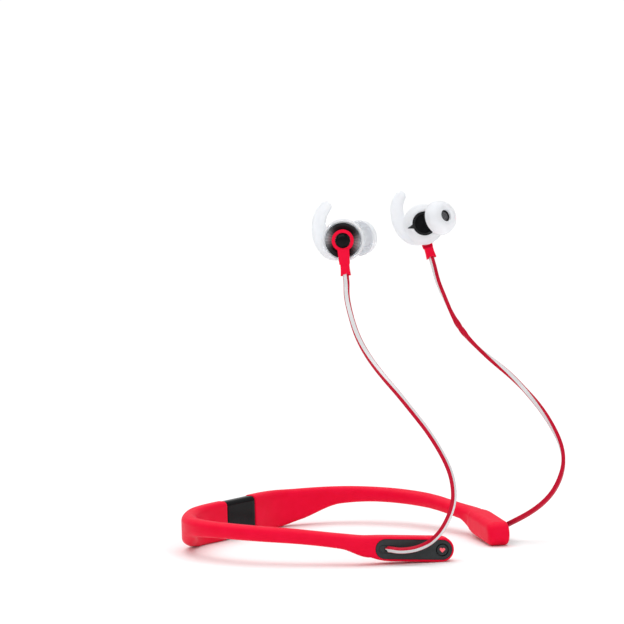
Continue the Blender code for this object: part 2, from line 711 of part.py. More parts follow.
def make_left_module(parts, mats):
    """Battery, remote buttons and microphone."""
    side, pivot = LEFT, "left_arm_pivot"
    place = mirror_x(side) @ MODULE_FRAME
    make_housing(parts, mats, side)
    places = [BUTTON_X - BUTTON_PITCH * i for i in range(3)]
    make_panel(parts, mats, side, places, 2.55)
    make_board(parts, mats, side)
    for button_name, x in zip(("volume_up_button", "call_button", "volume_down_button"), places):
        make_button(parts, mats, side, button_name, x, 2.1, "button")
    battery = block((7.0, -2.9, MODULE_MID - 3.2), (25.0, BOARD[0] - GAP, MODULE_MID + 3.2), 0.5)
    parts.add("battery", battery, mats["battery"], place, parent=pivot)
    can = block((26.6, -2.3, MODULE_MID - 3.2), (30.4, BOARD[0] - GAP, MODULE_MID - 0.8), 0.15)
    parts.add("microphone", can, mats["steel"], place, parent=pivot)


# ------------------------------------------------------------ the earpieces
def ear_frame(side):
    """The earpiece's frame: x forward, y outward, z up, mirrored on the right."""
    centre, heading, tilt, lean = EARPIECES[side]
    heading, tilt, lean = radians(heading), radians(tilt), radians(lean)
    out = Vector((side * cos(heading) * cos(tilt), -sin(heading) * cos(tilt), sin(tilt)))
    up = (Vector((0, 0, 1)) - out * out.z).normalized()
    forward = out.cross(up) * side
    up, forward = up * cos(lean) - forward * sin(lean), forward * cos(lean) + up * sin(lean)
    matrix = Matrix((forward, out, up)).transposed().to_4x4()
    return Matrix.Translation(centre) @ matrix


CANT = radians(NOZZLE_CANT)
NOZZLE_AXIS = Vector((sin(CANT), -cos(CANT), 0))


def on_nozzle(shape):
    """Place a z-axis part on the nozzle's axis, its top outward."""
    turn = NOZZLE_AXIS.to_track_quat("Z", "Y").to_matrix().to_4x4()
    return moved(shape, Matrix.Translation((NOZZLE_ROOT[0], NOZZLE_ROOT[1], 0)) @ turn)


def cylinder(radius, low, high, steps=24):
    return turned([(0, high), (radius, high), (radius, low), (0, low)], steps)


def make_ear_housing(parts, mats, side, place, pivot):
    name = SIDE_NAMES[side]
    body = along_y(turned([(0, -2.5), (HOUSING_RADIUS, -2.5), (HOUSING_RADIUS, -6.6), (5.3, -8.6),
                           (4.8, -9.0), (0, -9.0)], 24))
    key = prism([[(-7.9, 0.0), (-7.4, 0.5), (-4.5, 0.9), (-4.5, -0.9), (-7.4, -0.5)]], -8.8, -6.9)
    body = combine(body, key, "UNION")
    if side == LEFT:
        body = combine(body, along_y(cylinder(4.6, -10.0, -8.4, 20)))
    end = NOZZLE_END
    nozzle = on_nozzle(turned([(0, end), (2.75, end), (2.9, end - 0.3), (2.6, end - 1.0),
                               (2.6, 2.5), (0, 2.5)], 20))
    body = combine(body, nozzle, "UNION")
    body = combine(body, along_y(cylinder(6.3, -7.6, -1.0, 24)))
    body = combine(body, on_nozzle(turned([(0, end + 1), (2.3, end + 1), (2.3, end - 0.8),
                                           (1.8, end - 0.8), (1.8, 1.0), (0, 1.0)], 16)))
    parts.add(f"ear_housing_{name}", body, mats["black"], place, parent=pivot)
    mesh = on_nozzle(cylinder(2.0, end - 0.5, end - 0.2, 16))
    parts.add(f"nozzle_mesh_{name}", mesh, mats["mesh"], place, parent=pivot)
    driver = along_y(turned([(0, -2.8), (5.8, -2.8), (5.8, -4.6), (3.6, -5.0), (3.6, -6.4), (0, -6.4)], 20))
    parts.add(f"driver_{name}", driver, mats["steel"], place, parent=pivot)


def make_dish(parts, mats, side, place, pivot):
    """The spun back plate with the red yoke, cap and boot on it."""
    name = SIDE_NAMES[side]
    dish = along_y(turned([(0, -1.3), (5.0, -1.3), (7.2, 0.0), (7.5, 0.0), (DISH_RADIUS, -0.3),
                           (DISH_RADIUS, -2.2), (0, -2.2)], 28))
    parts.add(f"back_dish_{name}", dish, mats["gloss"], place, parent=pivot)
    ring = prism([circle(RING_RADIUS, 24), circle(3.35, 20)[::-1]], -1.0, 0.7)
    neck = prism([[(-2.6, -3.8), (-2.4, -10.4), (2.4, -10.4), (2.6, -3.8)]], 0.3, 2.2)
    yoke = combine(ring, neck, "UNION")
    parts.add(f"cable_yoke_{name}", bevelled(yoke, 0.2, 1), mats["silicone"], place, parent=pivot)
    cap = along_y(turned([(0, 0.5), (2.8, 0.4), (3.05, 0.1), (3.05, -1.0), (0, -1.0)], 20))
    parts.add(f"back_cap_{name}", cap, mats["black"], place, parent=pivot)
    boot = block((-2.25, -1.2, -BOOT_END), (2.25, 2.1, -10.7), 0.5)
    parts.add(f"cable_boot_{name}", boot, mats["silicone"], place, parent=pivot)


def fin():
    """The horn that rises behind the ear sleeve and hooks forward."""
    line = ((-1.5, -7.4), (-6.3, -5.6), (-9.1, -1.6), (-10.3, 3.0), (-10.15, 8.0), (-8.8, 12.3), (-6.4, 15.3))
    widths = (1.6, 2.5, 3.1, 3.25, 3.1, 2.9, 2.55)
    depths = (2.2, 2.0, 1.8, 1.6, 1.45, 1.3, 1.15)
    at, s = smooth_curve(line)
    width, depth = monotone(s, widths), monotone(s, depths)
    rings, steps, ends = [], 10, 3
    places = [s[-1] * i / steps for i in range(steps + 1)]
    for d in places:
        rings.append(fin_ring(at, s, d, width(d), depth(d), 0.0))
    for k in range(1, ends + 1):
        turn = pi / 2 * k / (ends + 0.35)
        rings.append(fin_ring(at, s, s[-1], width(s[-1]) * cos(turn), depth(s[-1]) * cos(turn),
                              width(s[-1]) * sin(turn)))
    return loft(rings)


def fin_ring(at, s, distance, width, depth, ahead):
    """A flattened round section across the fin's line."""
    centre = at(distance)
    step = 0.05
    direction = at(min(distance + step, s[-1])) - at(max(distance - step, 0))
    direction /= np.linalg.norm(direction)
    across = np.array((-direction[1], direction[0]))
    count, middle_y, points = 10, -4.6, []
    for i in range(count):
        a = 2 * pi * i / count
        x, z = centre + direction * ahead + across * width * cos(a)
        points.append((x, middle_y + depth * sin(a), z))
    return points


def make_ear_rubber(parts, mats, side, place, pivot):
    """The ear sleeve with its fin, and the tip that pulls off the nozzle."""
    name = SIDE_NAMES[side]
    outer = [(8.2, -1.8), (9.0, -2.2), (SLEEVE_RADIUS, -3.4), (SLEEVE_RADIUS, -5.6), (8.6, -7.4),
             (7.2, -9.0), (6.0, -9.6), (5.5, -9.6)]
    inner = [(5.5, -8.95), (7.5, -6.85), (7.5, -2.6), (8.1, -2.5)]
    rubber = along_y(turned(outer + inner, 28, closed=True))
    horn = combine(fin(), along_y(cylinder(8.3, -12, 2, 28)))
    rubber = combine(rubber, horn, "UNION")
    rubber = combine(rubber, on_nozzle(cylinder(2.95, 0, 20, 20)))
    rubber = combine(rubber, block((-8.4, -11, -1.3), (-5.0, -6.6, 1.3)))
    parts.add(f"ear_fin_{name}", rubber, mats["clear"], place, parent=pivot)

    dome = [(3.3, 16.4), (5.0, 16.0), (6.5, 14.9), (7.5, 13.0), (7.9, 10.3)]
    under = [(7.3, 10.3), (6.9, 12.7), (6.0, 14.3), (4.3, 15.1)]
    stem = [(4.2, 14.6), (4.2, 9.2), (3.2, 9.2), (3.2, 15.1), (2.6, 15.1), (2.6, 16.2)]
    tip = on_nozzle(turned(dome + under + stem, 24, closed=True))
    origin = place @ Vector((NOZZLE_ROOT[0], NOZZLE_ROOT[1], 0))
    parts.add(f"ear_tip_{name}", tip, mats["clear"], place, origin, parent=pivot)


def make_sensor(parts, mats, place):
    """The pulse sensor: a dark window in the left housing and its board."""
    lens = along_y(cylinder(4.3, -9.25, -8.7, 20))
    lens = combine(lens, on_nozzle(cylinder(3.0, 0, 20, 20)))
    parts.add("sensor_window", lens, mats["gloss"], place, parent="left_arm_pivot")
    board = block((-4.2, -7.3, -2.4), (0.2, -6.7, 2.4))
    parts.add("sensor_board", board, mats["board"], place, parent="left_arm_pivot")


def make_earpiece(parts, mats, side):
    place, pivot = ear_frame(side), f"{SIDE_NAMES[side]}_arm_pivot"
    make_dish(parts, mats, side, place, pivot)
    make_ear_housing(parts, mats, side, place, pivot)
    make_ear_rubber(parts, mats, side, place, pivot)


def make_cable(parts, mats, side):
    """A cable from the boot's end face to the grommet's."""
    ear, module = ear_frame(side), mirror_x(side) @ MODULE_FRAME
    top = [ear @ Vector((0, BOOT_Y, -BOOT_END - GAP)), ear @ Vector((0, BOOT_Y, -BOOT_END - 4.0))]
    middle = [mirror_x(side) @ Vector(p) for p in CABLE_ROUTE]
    landing = [module @ Vector(p) for p in CABLE_LANDING]
    turn = radians(EXIT_ANGLE)
    end = module @ Vector((EXIT[0], EXIT[1], MODULE_MID))
    lead = end + (module.to_3x3() @ Vector((cos(turn), sin(turn), 0))) * 1.6
    at, s = smooth_curve(top + middle + landing + [lead, end])
    count = round(s[-1] / CABLE_STEP)
    points = [tuple(at(s[-1] * i / count)) for i in range(count + 1)]
    parts.add(f"cable_{SIDE_NAMES[side]}", tube(points, CABLE_RADIUS), mats["cable"],
              parent=f"{SIDE_NAMES[side]}_arm_pivot")


def make_materials():
    return {
        "silicone": material("red_silicone", (0.80, 0.008, 0.04), 0.5),
        "gloss": material("gloss_black", (0.012, 0.012, 0.013), 0.12),
        "black": material("moulded_black", (0.02, 0.02, 0.022), 0.4),
        "panel": material("charcoal_panel", (0.035, 0.04, 0.042), 0.5),
        "button": material("charcoal_button", (0.03, 0.033, 0.035), 0.45),
        "heart": material("heart_light", (0.85, 0.06, 0.12), 0.4),
        "clear": material("milky_silicone", (0.80, 0.82, 0.85), 0.35),
        "cable": material("red_cable", (0.45, 0.01, 0.03), 0.5),
        "rubber": material("dark_rubber", (0.02, 0.02, 0.02), 0.7),
        "steel": material("steel", (0.55, 0.55, 0.56), 0.3, 1.0),
        "mesh": material("nozzle_mesh", (0.06, 0.06, 0.06), 0.5, 0.8),
        "board": material("board_green", (0.01, 0.12, 0.05), 0.5),
        "battery": material("battery_wrap", (0.08, 0.10, 0.14), 0.4, 0.3),
        "wire": material("wire_insulation", (0.03, 0.03, 0.03), 0.5),
    }


def main():
    parts, mats = Assembly(clear_scene()), make_materials()
    flex = BAND_LINE(FLEX_AT)
    for side, name in SIDE_NAMES.items():
        parts.pivot(f"{name}_arm_pivot", (side * flex[0], flex[1], band_mid(FLEX_AT)))
    make_nape(parts, mats)
    for side in (LEFT, RIGHT):
        make_arm(parts, mats, side)
        make_earpiece(parts, mats, side)
        make_cable(parts, mats, side)
    make_left_module(parts, mats)
    make_right_module(parts, mats)
    make_sensor(parts, mats, ear_frame(LEFT))
    return parts


main()
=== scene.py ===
"""Looks of the neckband earphones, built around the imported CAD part.

Shapes are in millimetres and become metres as each piece is placed. The band,
module and earpiece frames repeat the CAD part's driving dimensions, so every
piece sits where its CAD node does.
"""
import json
from math import cos, pi, radians, sin

import bmesh
import bpy
import numpy as np
from mathutils import Matrix, Vector


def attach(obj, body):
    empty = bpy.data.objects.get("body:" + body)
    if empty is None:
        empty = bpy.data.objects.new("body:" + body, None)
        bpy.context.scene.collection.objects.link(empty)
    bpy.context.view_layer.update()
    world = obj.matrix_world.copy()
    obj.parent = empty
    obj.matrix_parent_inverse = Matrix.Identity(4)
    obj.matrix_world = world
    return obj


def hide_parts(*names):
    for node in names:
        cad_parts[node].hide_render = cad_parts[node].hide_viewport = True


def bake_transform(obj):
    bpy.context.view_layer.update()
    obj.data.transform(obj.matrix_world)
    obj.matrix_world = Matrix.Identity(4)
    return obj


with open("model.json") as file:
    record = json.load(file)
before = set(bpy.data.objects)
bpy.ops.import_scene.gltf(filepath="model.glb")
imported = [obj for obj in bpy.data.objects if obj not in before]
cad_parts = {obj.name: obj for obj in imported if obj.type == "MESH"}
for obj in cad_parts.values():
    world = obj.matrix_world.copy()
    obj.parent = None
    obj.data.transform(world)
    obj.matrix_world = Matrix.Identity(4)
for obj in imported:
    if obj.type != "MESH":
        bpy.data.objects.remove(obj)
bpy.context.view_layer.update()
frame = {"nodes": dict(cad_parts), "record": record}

MM = 0.001
GAP = 0.3                     # the joint between two pieces
OVERLAP = 1.0                 # how far a cut reaches past a face
WELD = 0.0005                 # points closer than this become one
SLOPE_STEP = 0.05             # half the stretch over which a curve's slope is taken
BEVEL_FROM = radians(40)      # edges sharper than this are bevelled
LEFT, RIGHT = 1, -1
SIDES = {LEFT: "left", RIGHT: "right"}

# ---- the band: plan position, top, bottom and thickness along the left half ----
BAND = (
    (0.0,   64.5,  18.2,  0.0,  6.6),
    (16.0,  64.7,  18.2,  0.0,  6.6),
    (30.5,  64.7,  17.9,  0.0,  6.8),
    (44.4,  59.1,  17.4,  2.6,  7.0),
    (59.0,  44.6,  17.4,  9.2,  7.2),
    (64.1,  26.4,  17.2, 10.3,  7.4),
    (61.1,  -1.4,  16.2,  9.6,  7.4),
    (50.8, -27.8,  13.6,  7.0,  7.9),
    (45.3, -38.6,  12.7,  3.2,  8.9),
)
NAPE_CORNER = 2.1             # the section is boxy at the nape
ARM_CORNER = 3.0              # and rounder along the arms
ROUNDING = (14.0, 30.0)       # where that change begins, and how long it takes
COVER_HALF_WIDTH = 11.0
COVER_RECESS = 0.3
# how the ends of the nape cover and of the sleeves are eased: distance on, inset
COVER_EDGE = ((0.26, 1.2), (0.0, 1.2), (0.0, 0.35), (-0.08, 0.15), (-0.3, 0.0))
SLEEVE_EDGE = ((0.0, 0.5), (0.06, 0.28), (0.2, 0.1), (0.45, 0.0))

# ---- the modules, in their own frame: x to the tip, y outward, z up ----
MODULE_LENGTH = 36.4
MODULE_HEIGHT = 10.9
MODULE_HALF = 4.9
MODULE_MID = MODULE_HEIGHT / 2
MODULE_OUTER_CORNER = 1.4
MODULE_INNER_CORNER = 3.2
NECK_SWELL = 3.0              # length over which the band thickens into the module
NECK_DROP = 9.0               # and over which it drops to the floor
MODULE_HEADING = 42.4
MODULE_PITCH = 3.6
PANEL = (1.6, 35.3, 4.25)     # rear end, front end, half height
PANEL_GAP = 0.15
POCKET_RIM = (4.62, 5.02, 0.3)      # low, high and spread of the pocket's broken edge
PANEL_FACE = 4.8
PANEL_BACK = 3.75
LEDGE = 2.7                   # the pocket's floor
CAVITY = (3.4, 34.5, 3.5)
CAVITY_FLOOR = -3.2
BUTTON_X = PANEL[1] - PANEL[2]
BUTTON_PITCH = 6.2
HEART_BUTTON = (2.4, 2.85)    # radius, and its hole's
REMOTE_BUTTON = (2.1, 2.55)
HEART_RECESS = (2.6, 4.35, 6.0)     # width, low, high
HEART_LIGHT = (2.4, 4.36, 4.88)
CABLE_SLOT = (3.0, 10.2, 1.8)       # rear, front, half height
CABLE_SEAT = (3.15, 10.05, 1.65)
SEAT_DEPTH = (3.6, 4.66)
EXIT = (7.2, 4.9)             # where the cable passes the panel
EXIT_ANGLE = 40.0
EXIT_LEAD = 1.6               # straight run of the cable into the panel
PORT_COVER = (12.0, 24.0)     # rear, front
PORT_HALF_HEIGHT = 3.1
PORT_COVER_BACK = -3.85
SOCKET = (13.9, 22.1)
SOCKET_HALF_HEIGHT = 1.7
MICROPHONE_HOLE = (28.0, 0.5)       # place, radius

# ---- the earpieces, in their own frame: x forward, y outward, z up ----
# centre, then heading, tilt and lean in degrees
EARPIECES = {
    LEFT: ((38.1, -17.8, 143.3), -39.5, -9.5, 14.0),
    RIGHT: ((-36.3, -23.1, 140.9), 29.0, 0.8, 3.7),
}
NOZZLE_ROOT = (1.0, -5.0)
NOZZLE_CANT = 30.0
NOZZLE_END = 14.8
BOOT_END = 14.8
BOOT_Y = 0.5
BOOT_LEAD = 4.0               # straight run of the cable under the boot
FIN_Y = -4.6

# ---- the cables, one route for both, seen on the left ----
CABLE_ROUTE = (
    (38.0, -25.5, 118.5), (40.0, -28.5, 109.0), (41.3, -32.5, 100.0),
    (42.8, -39.0, 91.0), (45.0, -48.0, 82.5), (47.0, -56.5, 75.5),
    (48.2, -64.5, 68.0), (48.6, -72.0, 60.0), (48.6, -78.5, 51.0),
    (48.3, -82.8, 42.0), (47.7, -83.7, 35.5), (46.5, -82.5, 29.0),
    (45.0, -78.5, 21.5), (42.3, -73.2, 15.8), (39.4, -68.0, 12.0),
)
CABLE_LANDING = ((22.5, 10.0, 8.3), (18.8, 8.3, 6.4), (14.5, 7.9, 5.5), (10.8, 7.2, 5.3))
CABLE_WIDTH = 2.35
CABLE_THICKNESS = 1.75
CABLE_CORNER = 0.3
STRIPE_HALF = 0.84
# degrees the striped face is turned round the cable, by share of its length
CABLE_TWIST = {
    RIGHT: ((0, -30), (0.06, -12), (0.15, 5), (0.25, 30), (0.33, 45), (0.42, 58),
            (0.6, 64), (0.75, 56), (0.88, 44), (1, 38)),
    LEFT: ((0, -58), (0.1, -72), (0.16, -98), (0.18, -110), (0.235, -256), (0.3, -280),
           (0.36, -320), (0.44, -358), (0.51, -395), (0.58, -420), (0.65, -445),
           (0.72, -475), (1, -490)),
}
TWIST_FROM = Vector((-0.827, -0.558, 0.073))     # the direction the twist is counted from

# ---- the dish's painted highlight rays, round its axis ----
PAINTED_STREAK_TURN = 0.25            # radians
PAINTED_STREAK_SHARPNESS = 9.0
PAINTED_STREAK_RAYS = 31.0
LATHE_RINGS = 42.0            # radians a millimetre

# ---- camera ----
CAMERA_TURN = 34.0            # degrees from -X towards -Y
CAMERA_RISE = 4.2
CAMERA_ROLL = -1.65
CAMERA_DISTANCE = 1417.0
CAMERA_AIM = (-4.88, 15.4, 106.4)
CAMERA_LENS = 180.0

# ---- light: what the camera sees behind, what lights the object, the sun-like
# ceiling and two soft boxes ----
BACKDROP = 1.05
SURROUND = 0.55
CEILING = 1.9
CEILING_SPREAD = 70.0
FRONT_BOX = 1.6
STRIP_BOX = 1.6


# ---------------- helpers
def link(obj):
    bpy.context.scene.collection.objects.link(obj)
    return obj


def as_object(bm):
    mesh = bpy.data.meshes.new("work")
    bm.to_mesh(mesh)
    bm.free()
    return link(bpy.data.objects.new("work", mesh))


def mesh_object(bm):
    bmesh.ops.remove_doubles(bm, verts=bm.verts, dist=WELD)
    bmesh.ops.dissolve_degenerate(bm, dist=WELD, edges=bm.edges)
    bmesh.ops.recalc_face_normals(bm, faces=bm.faces)
    return as_object(bm)


def baked(obj):
    """Replace an object by a plain mesh object of its evaluated shape."""
    bpy.context.view_layer.update()
    depsgraph = bpy.context.evaluated_depsgraph_get()
    mesh = bpy.data.meshes.new_from_object(obj.evaluated_get(depsgraph))
    mesh.transform(obj.matrix_world)
    bpy.data.objects.remove(obj)
    bm = bmesh.new()
    bm.from_mesh(mesh)
    bmesh.ops.remove_doubles(bm, verts=bm.verts, dist=WELD)
    bm.to_mesh(mesh)
    bm.free()
    return link(bpy.data.objects.new("work", mesh))


def combine(target, tool, operation="DIFFERENCE"):
    modifier = target.modifiers.new("combine", "BOOLEAN")
    modifier.operation = operation
    modifier.object = tool
    result = baked(target)
    bpy.data.objects.remove(tool)
    return result


def moved(obj, matrix):
    obj.data.transform(matrix)
    if matrix.determinant() < 0:
        obj.data.flip_normals()
    return obj


def bevelled(obj, width, segments):
    modifier = obj.modifiers.new("bevel", "BEVEL")
    modifier.width = width
    modifier.segments = segments
    modifier.limit_method = "ANGLE"
    modifier.angle_limit = BEVEL_FROM
    return baked(obj)


def softened(obj, voxel, rounds):
    """Melt overlapping closed shapes into one rounded skin."""
    remesh = obj.modifiers.new("remesh", "REMESH")
    remesh.mode = "VOXEL"
    remesh.voxel_size = voxel
    smooth = obj.modifiers.new("smooth", "SMOOTH")
    smooth.factor = 0.5
    smooth.iterations = rounds
    return baked(obj)


def joined(*objects):
    """One mesh of several, which may overlap."""
    bm = bmesh.new()
    for obj in objects:
        bm.from_mesh(obj.data)
        bpy.data.objects.remove(obj)
    return as_object(bm)


def block(low, high):
    bm = bmesh.new()
    bmesh.ops.create_cube(bm, size=1.0)
    for vert in bm.verts:
        vert.co = Vector(low[i] + (high[i] - low[i]) * (vert.co[i] + 0.5) for i in range(3))
    return mesh_object(bm)


def arc(centre, radius, start, end, steps):
    angles = (radians(start + (end - start) * i / steps) for i in range(steps + 1))
    return [(centre[0] + radius * cos(a), centre[1] + radius * sin(a)) for a in angles]


def stadium(rear, front, half_height, steps=24):
    nose = arc((front - half_height, MODULE_MID), half_height, -90, 90, steps)
    tail = arc((rear + half_height, MODULE_MID), half_height, 90, 270, steps)
    return nose + tail


def circle(radius, steps=48, centre=(0.0, 0.0)):
    return arc(centre, radius, 0, 360, steps)[:-1]


def prism(outlines, y_low, y_high):
    """Flat outlines in x and z, extruded along y."""
    curve = bpy.data.curves.new("outline", "CURVE")
    curve.dimensions = "2D"
    curve.fill_mode = "BOTH"
    curve.extrude = (y_high - y_low) / 2
    for loop in outlines:
        spline = curve.splines.new("POLY")
        spline.points.add(len(loop) - 1)
        for point, (x, z) in zip(spline.points, loop):
            point.co = (x, z, 0.0, 1.0)
        spline.use_cyclic_u = True
    obj = link(bpy.data.objects.new("outline", curve))
    turn = Matrix.Rotation(pi / 2, 4, "X")
    obj.matrix_world = Matrix.Translation((0, (y_low + y_high) / 2, 0)) @ turn
    return baked(obj)


def turned(profile, steps=64, closed=False):
    """Turn (radius, height) points about z, outer side from top to bottom."""
    mesh = bpy.data.meshes.new("profile")
    count = len(profile)
    edges = [(i, i + 1) for i in range(count - 1)] + ([(count - 1, 0)] if closed else [])
    mesh.from_pydata([(r, 0.0, h) for r, h in profile], edges, [])
    obj = link(bpy.data.objects.new("profile", mesh))
    screw = obj.modifiers.new("turn", "SCREW")
    screw.steps = screw.render_steps = steps
    screw.use_merge_vertices = True
    screw.merge_threshold = 0.0001
    return baked(obj)


def cylinder(radius, low, high, steps=48):
    return turned([(0, high), (radius, high), (radius, low), (0, low)], steps)


def along_y(obj):
    return moved(obj, Matrix.Rotation(-pi / 2, 4, "X"))


def strips(bm, rings, accent=(), closed=True):
    """Faces between neighbouring rings, with a second material on some columns."""
    rows = [[bm.verts.new(point) for point in ring] for ring in rings]
    count = len(rows[0])
    for a, b in zip(rows, rows[1:]):
        for i in range(count if closed else count - 1):
            j = (i + 1) % count
            face = bm.faces.new((a[i], a[j], b[j], b[i]))
            face.material_index = 1 if i in accent else 0
    return rows


def loft(rings, accent=()):
    """Join rings into a closed skin."""
    bm = bmesh.new()
    rows = strips(bm, rings, accent)
    bm.faces.new(rows[0][::-1])
    bm.faces.new(rows[-1])
    return mesh_object(bm)


def on_cubic(s, values, slopes, distance):
    """The cubic through values at distances s, with these slopes there."""
    i = int(np.clip(np.searchsorted(s, distance) - 1, 0, len(s) - 2))
    h = s[i + 1] - s[i]
    t = (distance - s[i]) / h
    return ((1 + 2 * t) * (1 - t) ** 2 * values[i] + t * (1 - t) ** 2 * h * slopes[i]
            + t * t * (3 - 2 * t) * values[i + 1] + t * t * (t - 1) * h * slopes[i + 1])


def smooth_curve(points, start_slope=None, end_slope=None):
    """The CAD part's cubic curve through points, by the distance along them."""
    p = np.array(points, float)
    s = np.concatenate([[0.0], np.cumsum(np.linalg.norm(np.diff(p, axis=0), axis=1))])
    n, h = len(p), np.diff(s)
    a, rhs = np.zeros((n, n)), np.zeros_like(p)
    for i in range(1, n - 1):
        a[i, i - 1:i + 2] = h[i], 2 * (h[i - 1] + h[i]), h[i - 1]
        rhs[i] = 3 * (h[i] * (p[i] - p[i - 1]) / h[i - 1] + h[i - 1] * (p[i + 1] - p[i]) / h[i])
    for row, slope, near in ((0, start_slope, 1), (n - 1, end_slope, n - 2)):
        a[row, row] = 1.0
        if slope is not None:
            rhs[row] = slope
        else:
            a[row, near] = 0.5
            rhs[row] = 1.5 * (p[near] - p[row]) / (s[near] - s[row])
    m = np.linalg.solve(a, rhs)

    def at(distance):
        return on_cubic(s, p, m, distance)
    return at, s


def monotone(s, values):
    """Interpolate without overshoot between values at distances s."""
    v = np.array(values, float)
    d = np.diff(v) / np.diff(s)
    m = np.zeros(len(v))
    for i in range(1, len(v) - 1):
        if d[i - 1] * d[i] > 0:
            m[i] = 2 * d[i - 1] * d[i] / (d[i - 1] + d[i])

    def at(distance):
        return float(on_cubic(s, v, m, distance))
    return at


def mirror_x(side):
    return Matrix.Diagonal((side, 1, 1, 1))


def piece(name, shape, mat, matrix, body, nodes=(), angle=35.0, flat=False):
    """Place a shape as a finished piece. Its own millimetres are kept in the
    attribute "local", which the materials' patterns follow."""
    local = np.array([v.co for v in shape.data.vertices], np.float32)
    layer = shape.data.attributes.new("local", "FLOAT_VECTOR", "POINT")
    layer.data.foreach_set("vector", local.ravel())
    moved(shape, Matrix.Scale(MM, 4) @ matrix)
    shape.name = shape.data.name = name
    for each in mat if isinstance(mat, (list, tuple)) else [mat]:
        shape.data.materials.append(each)
    shape.data.shade_smooth()
    shape.data.set_sharp_from_angle(angle=radians(angle))
    if flat:
        modifier = shape.modifiers.new("normals", "WEIGHTED_NORMAL")
        modifier.keep_sharp = True
    if body:
        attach(shape, body)
    if nodes:
        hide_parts(*nodes)
    return shape


# ---------------- shared frames
HEADING, PITCH = radians(MODULE_HEADING), radians(MODULE_PITCH)
MODULE_PLAN = Vector((-sin(HEADING), -cos(HEADING), 0))
MODULE_OUT = Vector((cos(HEADING), -sin(HEADING), 0))
MODULE_AXIS = MODULE_PLAN * cos(PITCH) - Vector((0, 0, sin(PITCH)))
MODULE_UP = MODULE_PLAN * sin(PITCH) + Vector((0, 0, cos(PITCH)))
TIP_CENTRE = MODULE_LENGTH - MODULE_MID
MODULE_LIFT = MODULE_MID + TIP_CENTRE * sin(PITCH) - MODULE_MID * cos(PITCH)
MODULE_FRAME = Matrix((MODULE_AXIS, MODULE_OUT, MODULE_UP)).transposed().to_4x4()
MODULE_FRAME.translation = Vector((BAND[-1][0], BAND[-1][1], MODULE_LIFT))
BAND_LINE, BAND_AT = smooth_curve([row[:2] for row in BAND], (1, 0), MODULE_PLAN[:2])
BAND_TOP = monotone(BAND_AT, [row[2] for row in BAND])
BAND_BOTTOM = monotone(BAND_AT, [row[3] for row in BAND])
BAND_THICKNESS = monotone(BAND_AT, [row[4] for row in BAND])
BAND_END = BAND_AT[-1]


def module_place(side):
    return mirror_x(side) @ MODULE_FRAME


def ear_place(side):
    centre, heading, tilt, lean = EARPIECES[side]
    heading, tilt, lean = radians(heading), radians(tilt), radians(lean)
    out = Vector((side * cos(heading) * cos(tilt), -sin(heading) * cos(tilt), sin(tilt)))
    up = (Vector((0, 0, 1)) - out * out.z).normalized()
    forward = out.cross(up) * side
    up, forward = up * cos(lean) - forward * sin(lean), forward * cos(lean) + up * sin(lean)
    matrix = Matrix((forward, out, up)).transposed().to_4x4()
    return Matrix.Translation(centre) @ matrix


CANT = radians(NOZZLE_CANT)
NOZZLE_AXIS = Vector((sin(CANT), -cos(CANT), 0))


def on_nozzle(shape):
    turn = NOZZLE_AXIS.to_track_quat("Z", "Y").to_matrix().to_4x4()
    return moved(shape, Matrix.Translation((NOZZLE_ROOT[0], NOZZLE_ROOT[1], 0)) @ turn)


# ---------------- camera
def make_camera():
    turn, rise, roll = radians(CAMERA_TURN), radians(CAMERA_RISE), radians(CAMERA_ROLL)
    back = Vector((-cos(turn) * cos(rise), -sin(turn) * cos(rise), sin(rise)))
    right = Vector((sin(turn), -cos(turn), 0))
    up = back.cross(right)
    right, up = right * cos(roll) + up * sin(roll), up * cos(roll) - right * sin(roll)
    data = bpy.data.cameras.new("camera")
    data.lens = CAMERA_LENS
    data.sensor_width = 36.0
    data.clip_end = 20.0
    camera = link(bpy.data.objects.new("camera", data))
    matrix = Matrix((right, up, back)).transposed().to_4x4()
    matrix.translation = (Vector(CAMERA_AIM) + back * CAMERA_DISTANCE) * MM
    camera.matrix_world = matrix
    bpy.context.scene.camera = camera


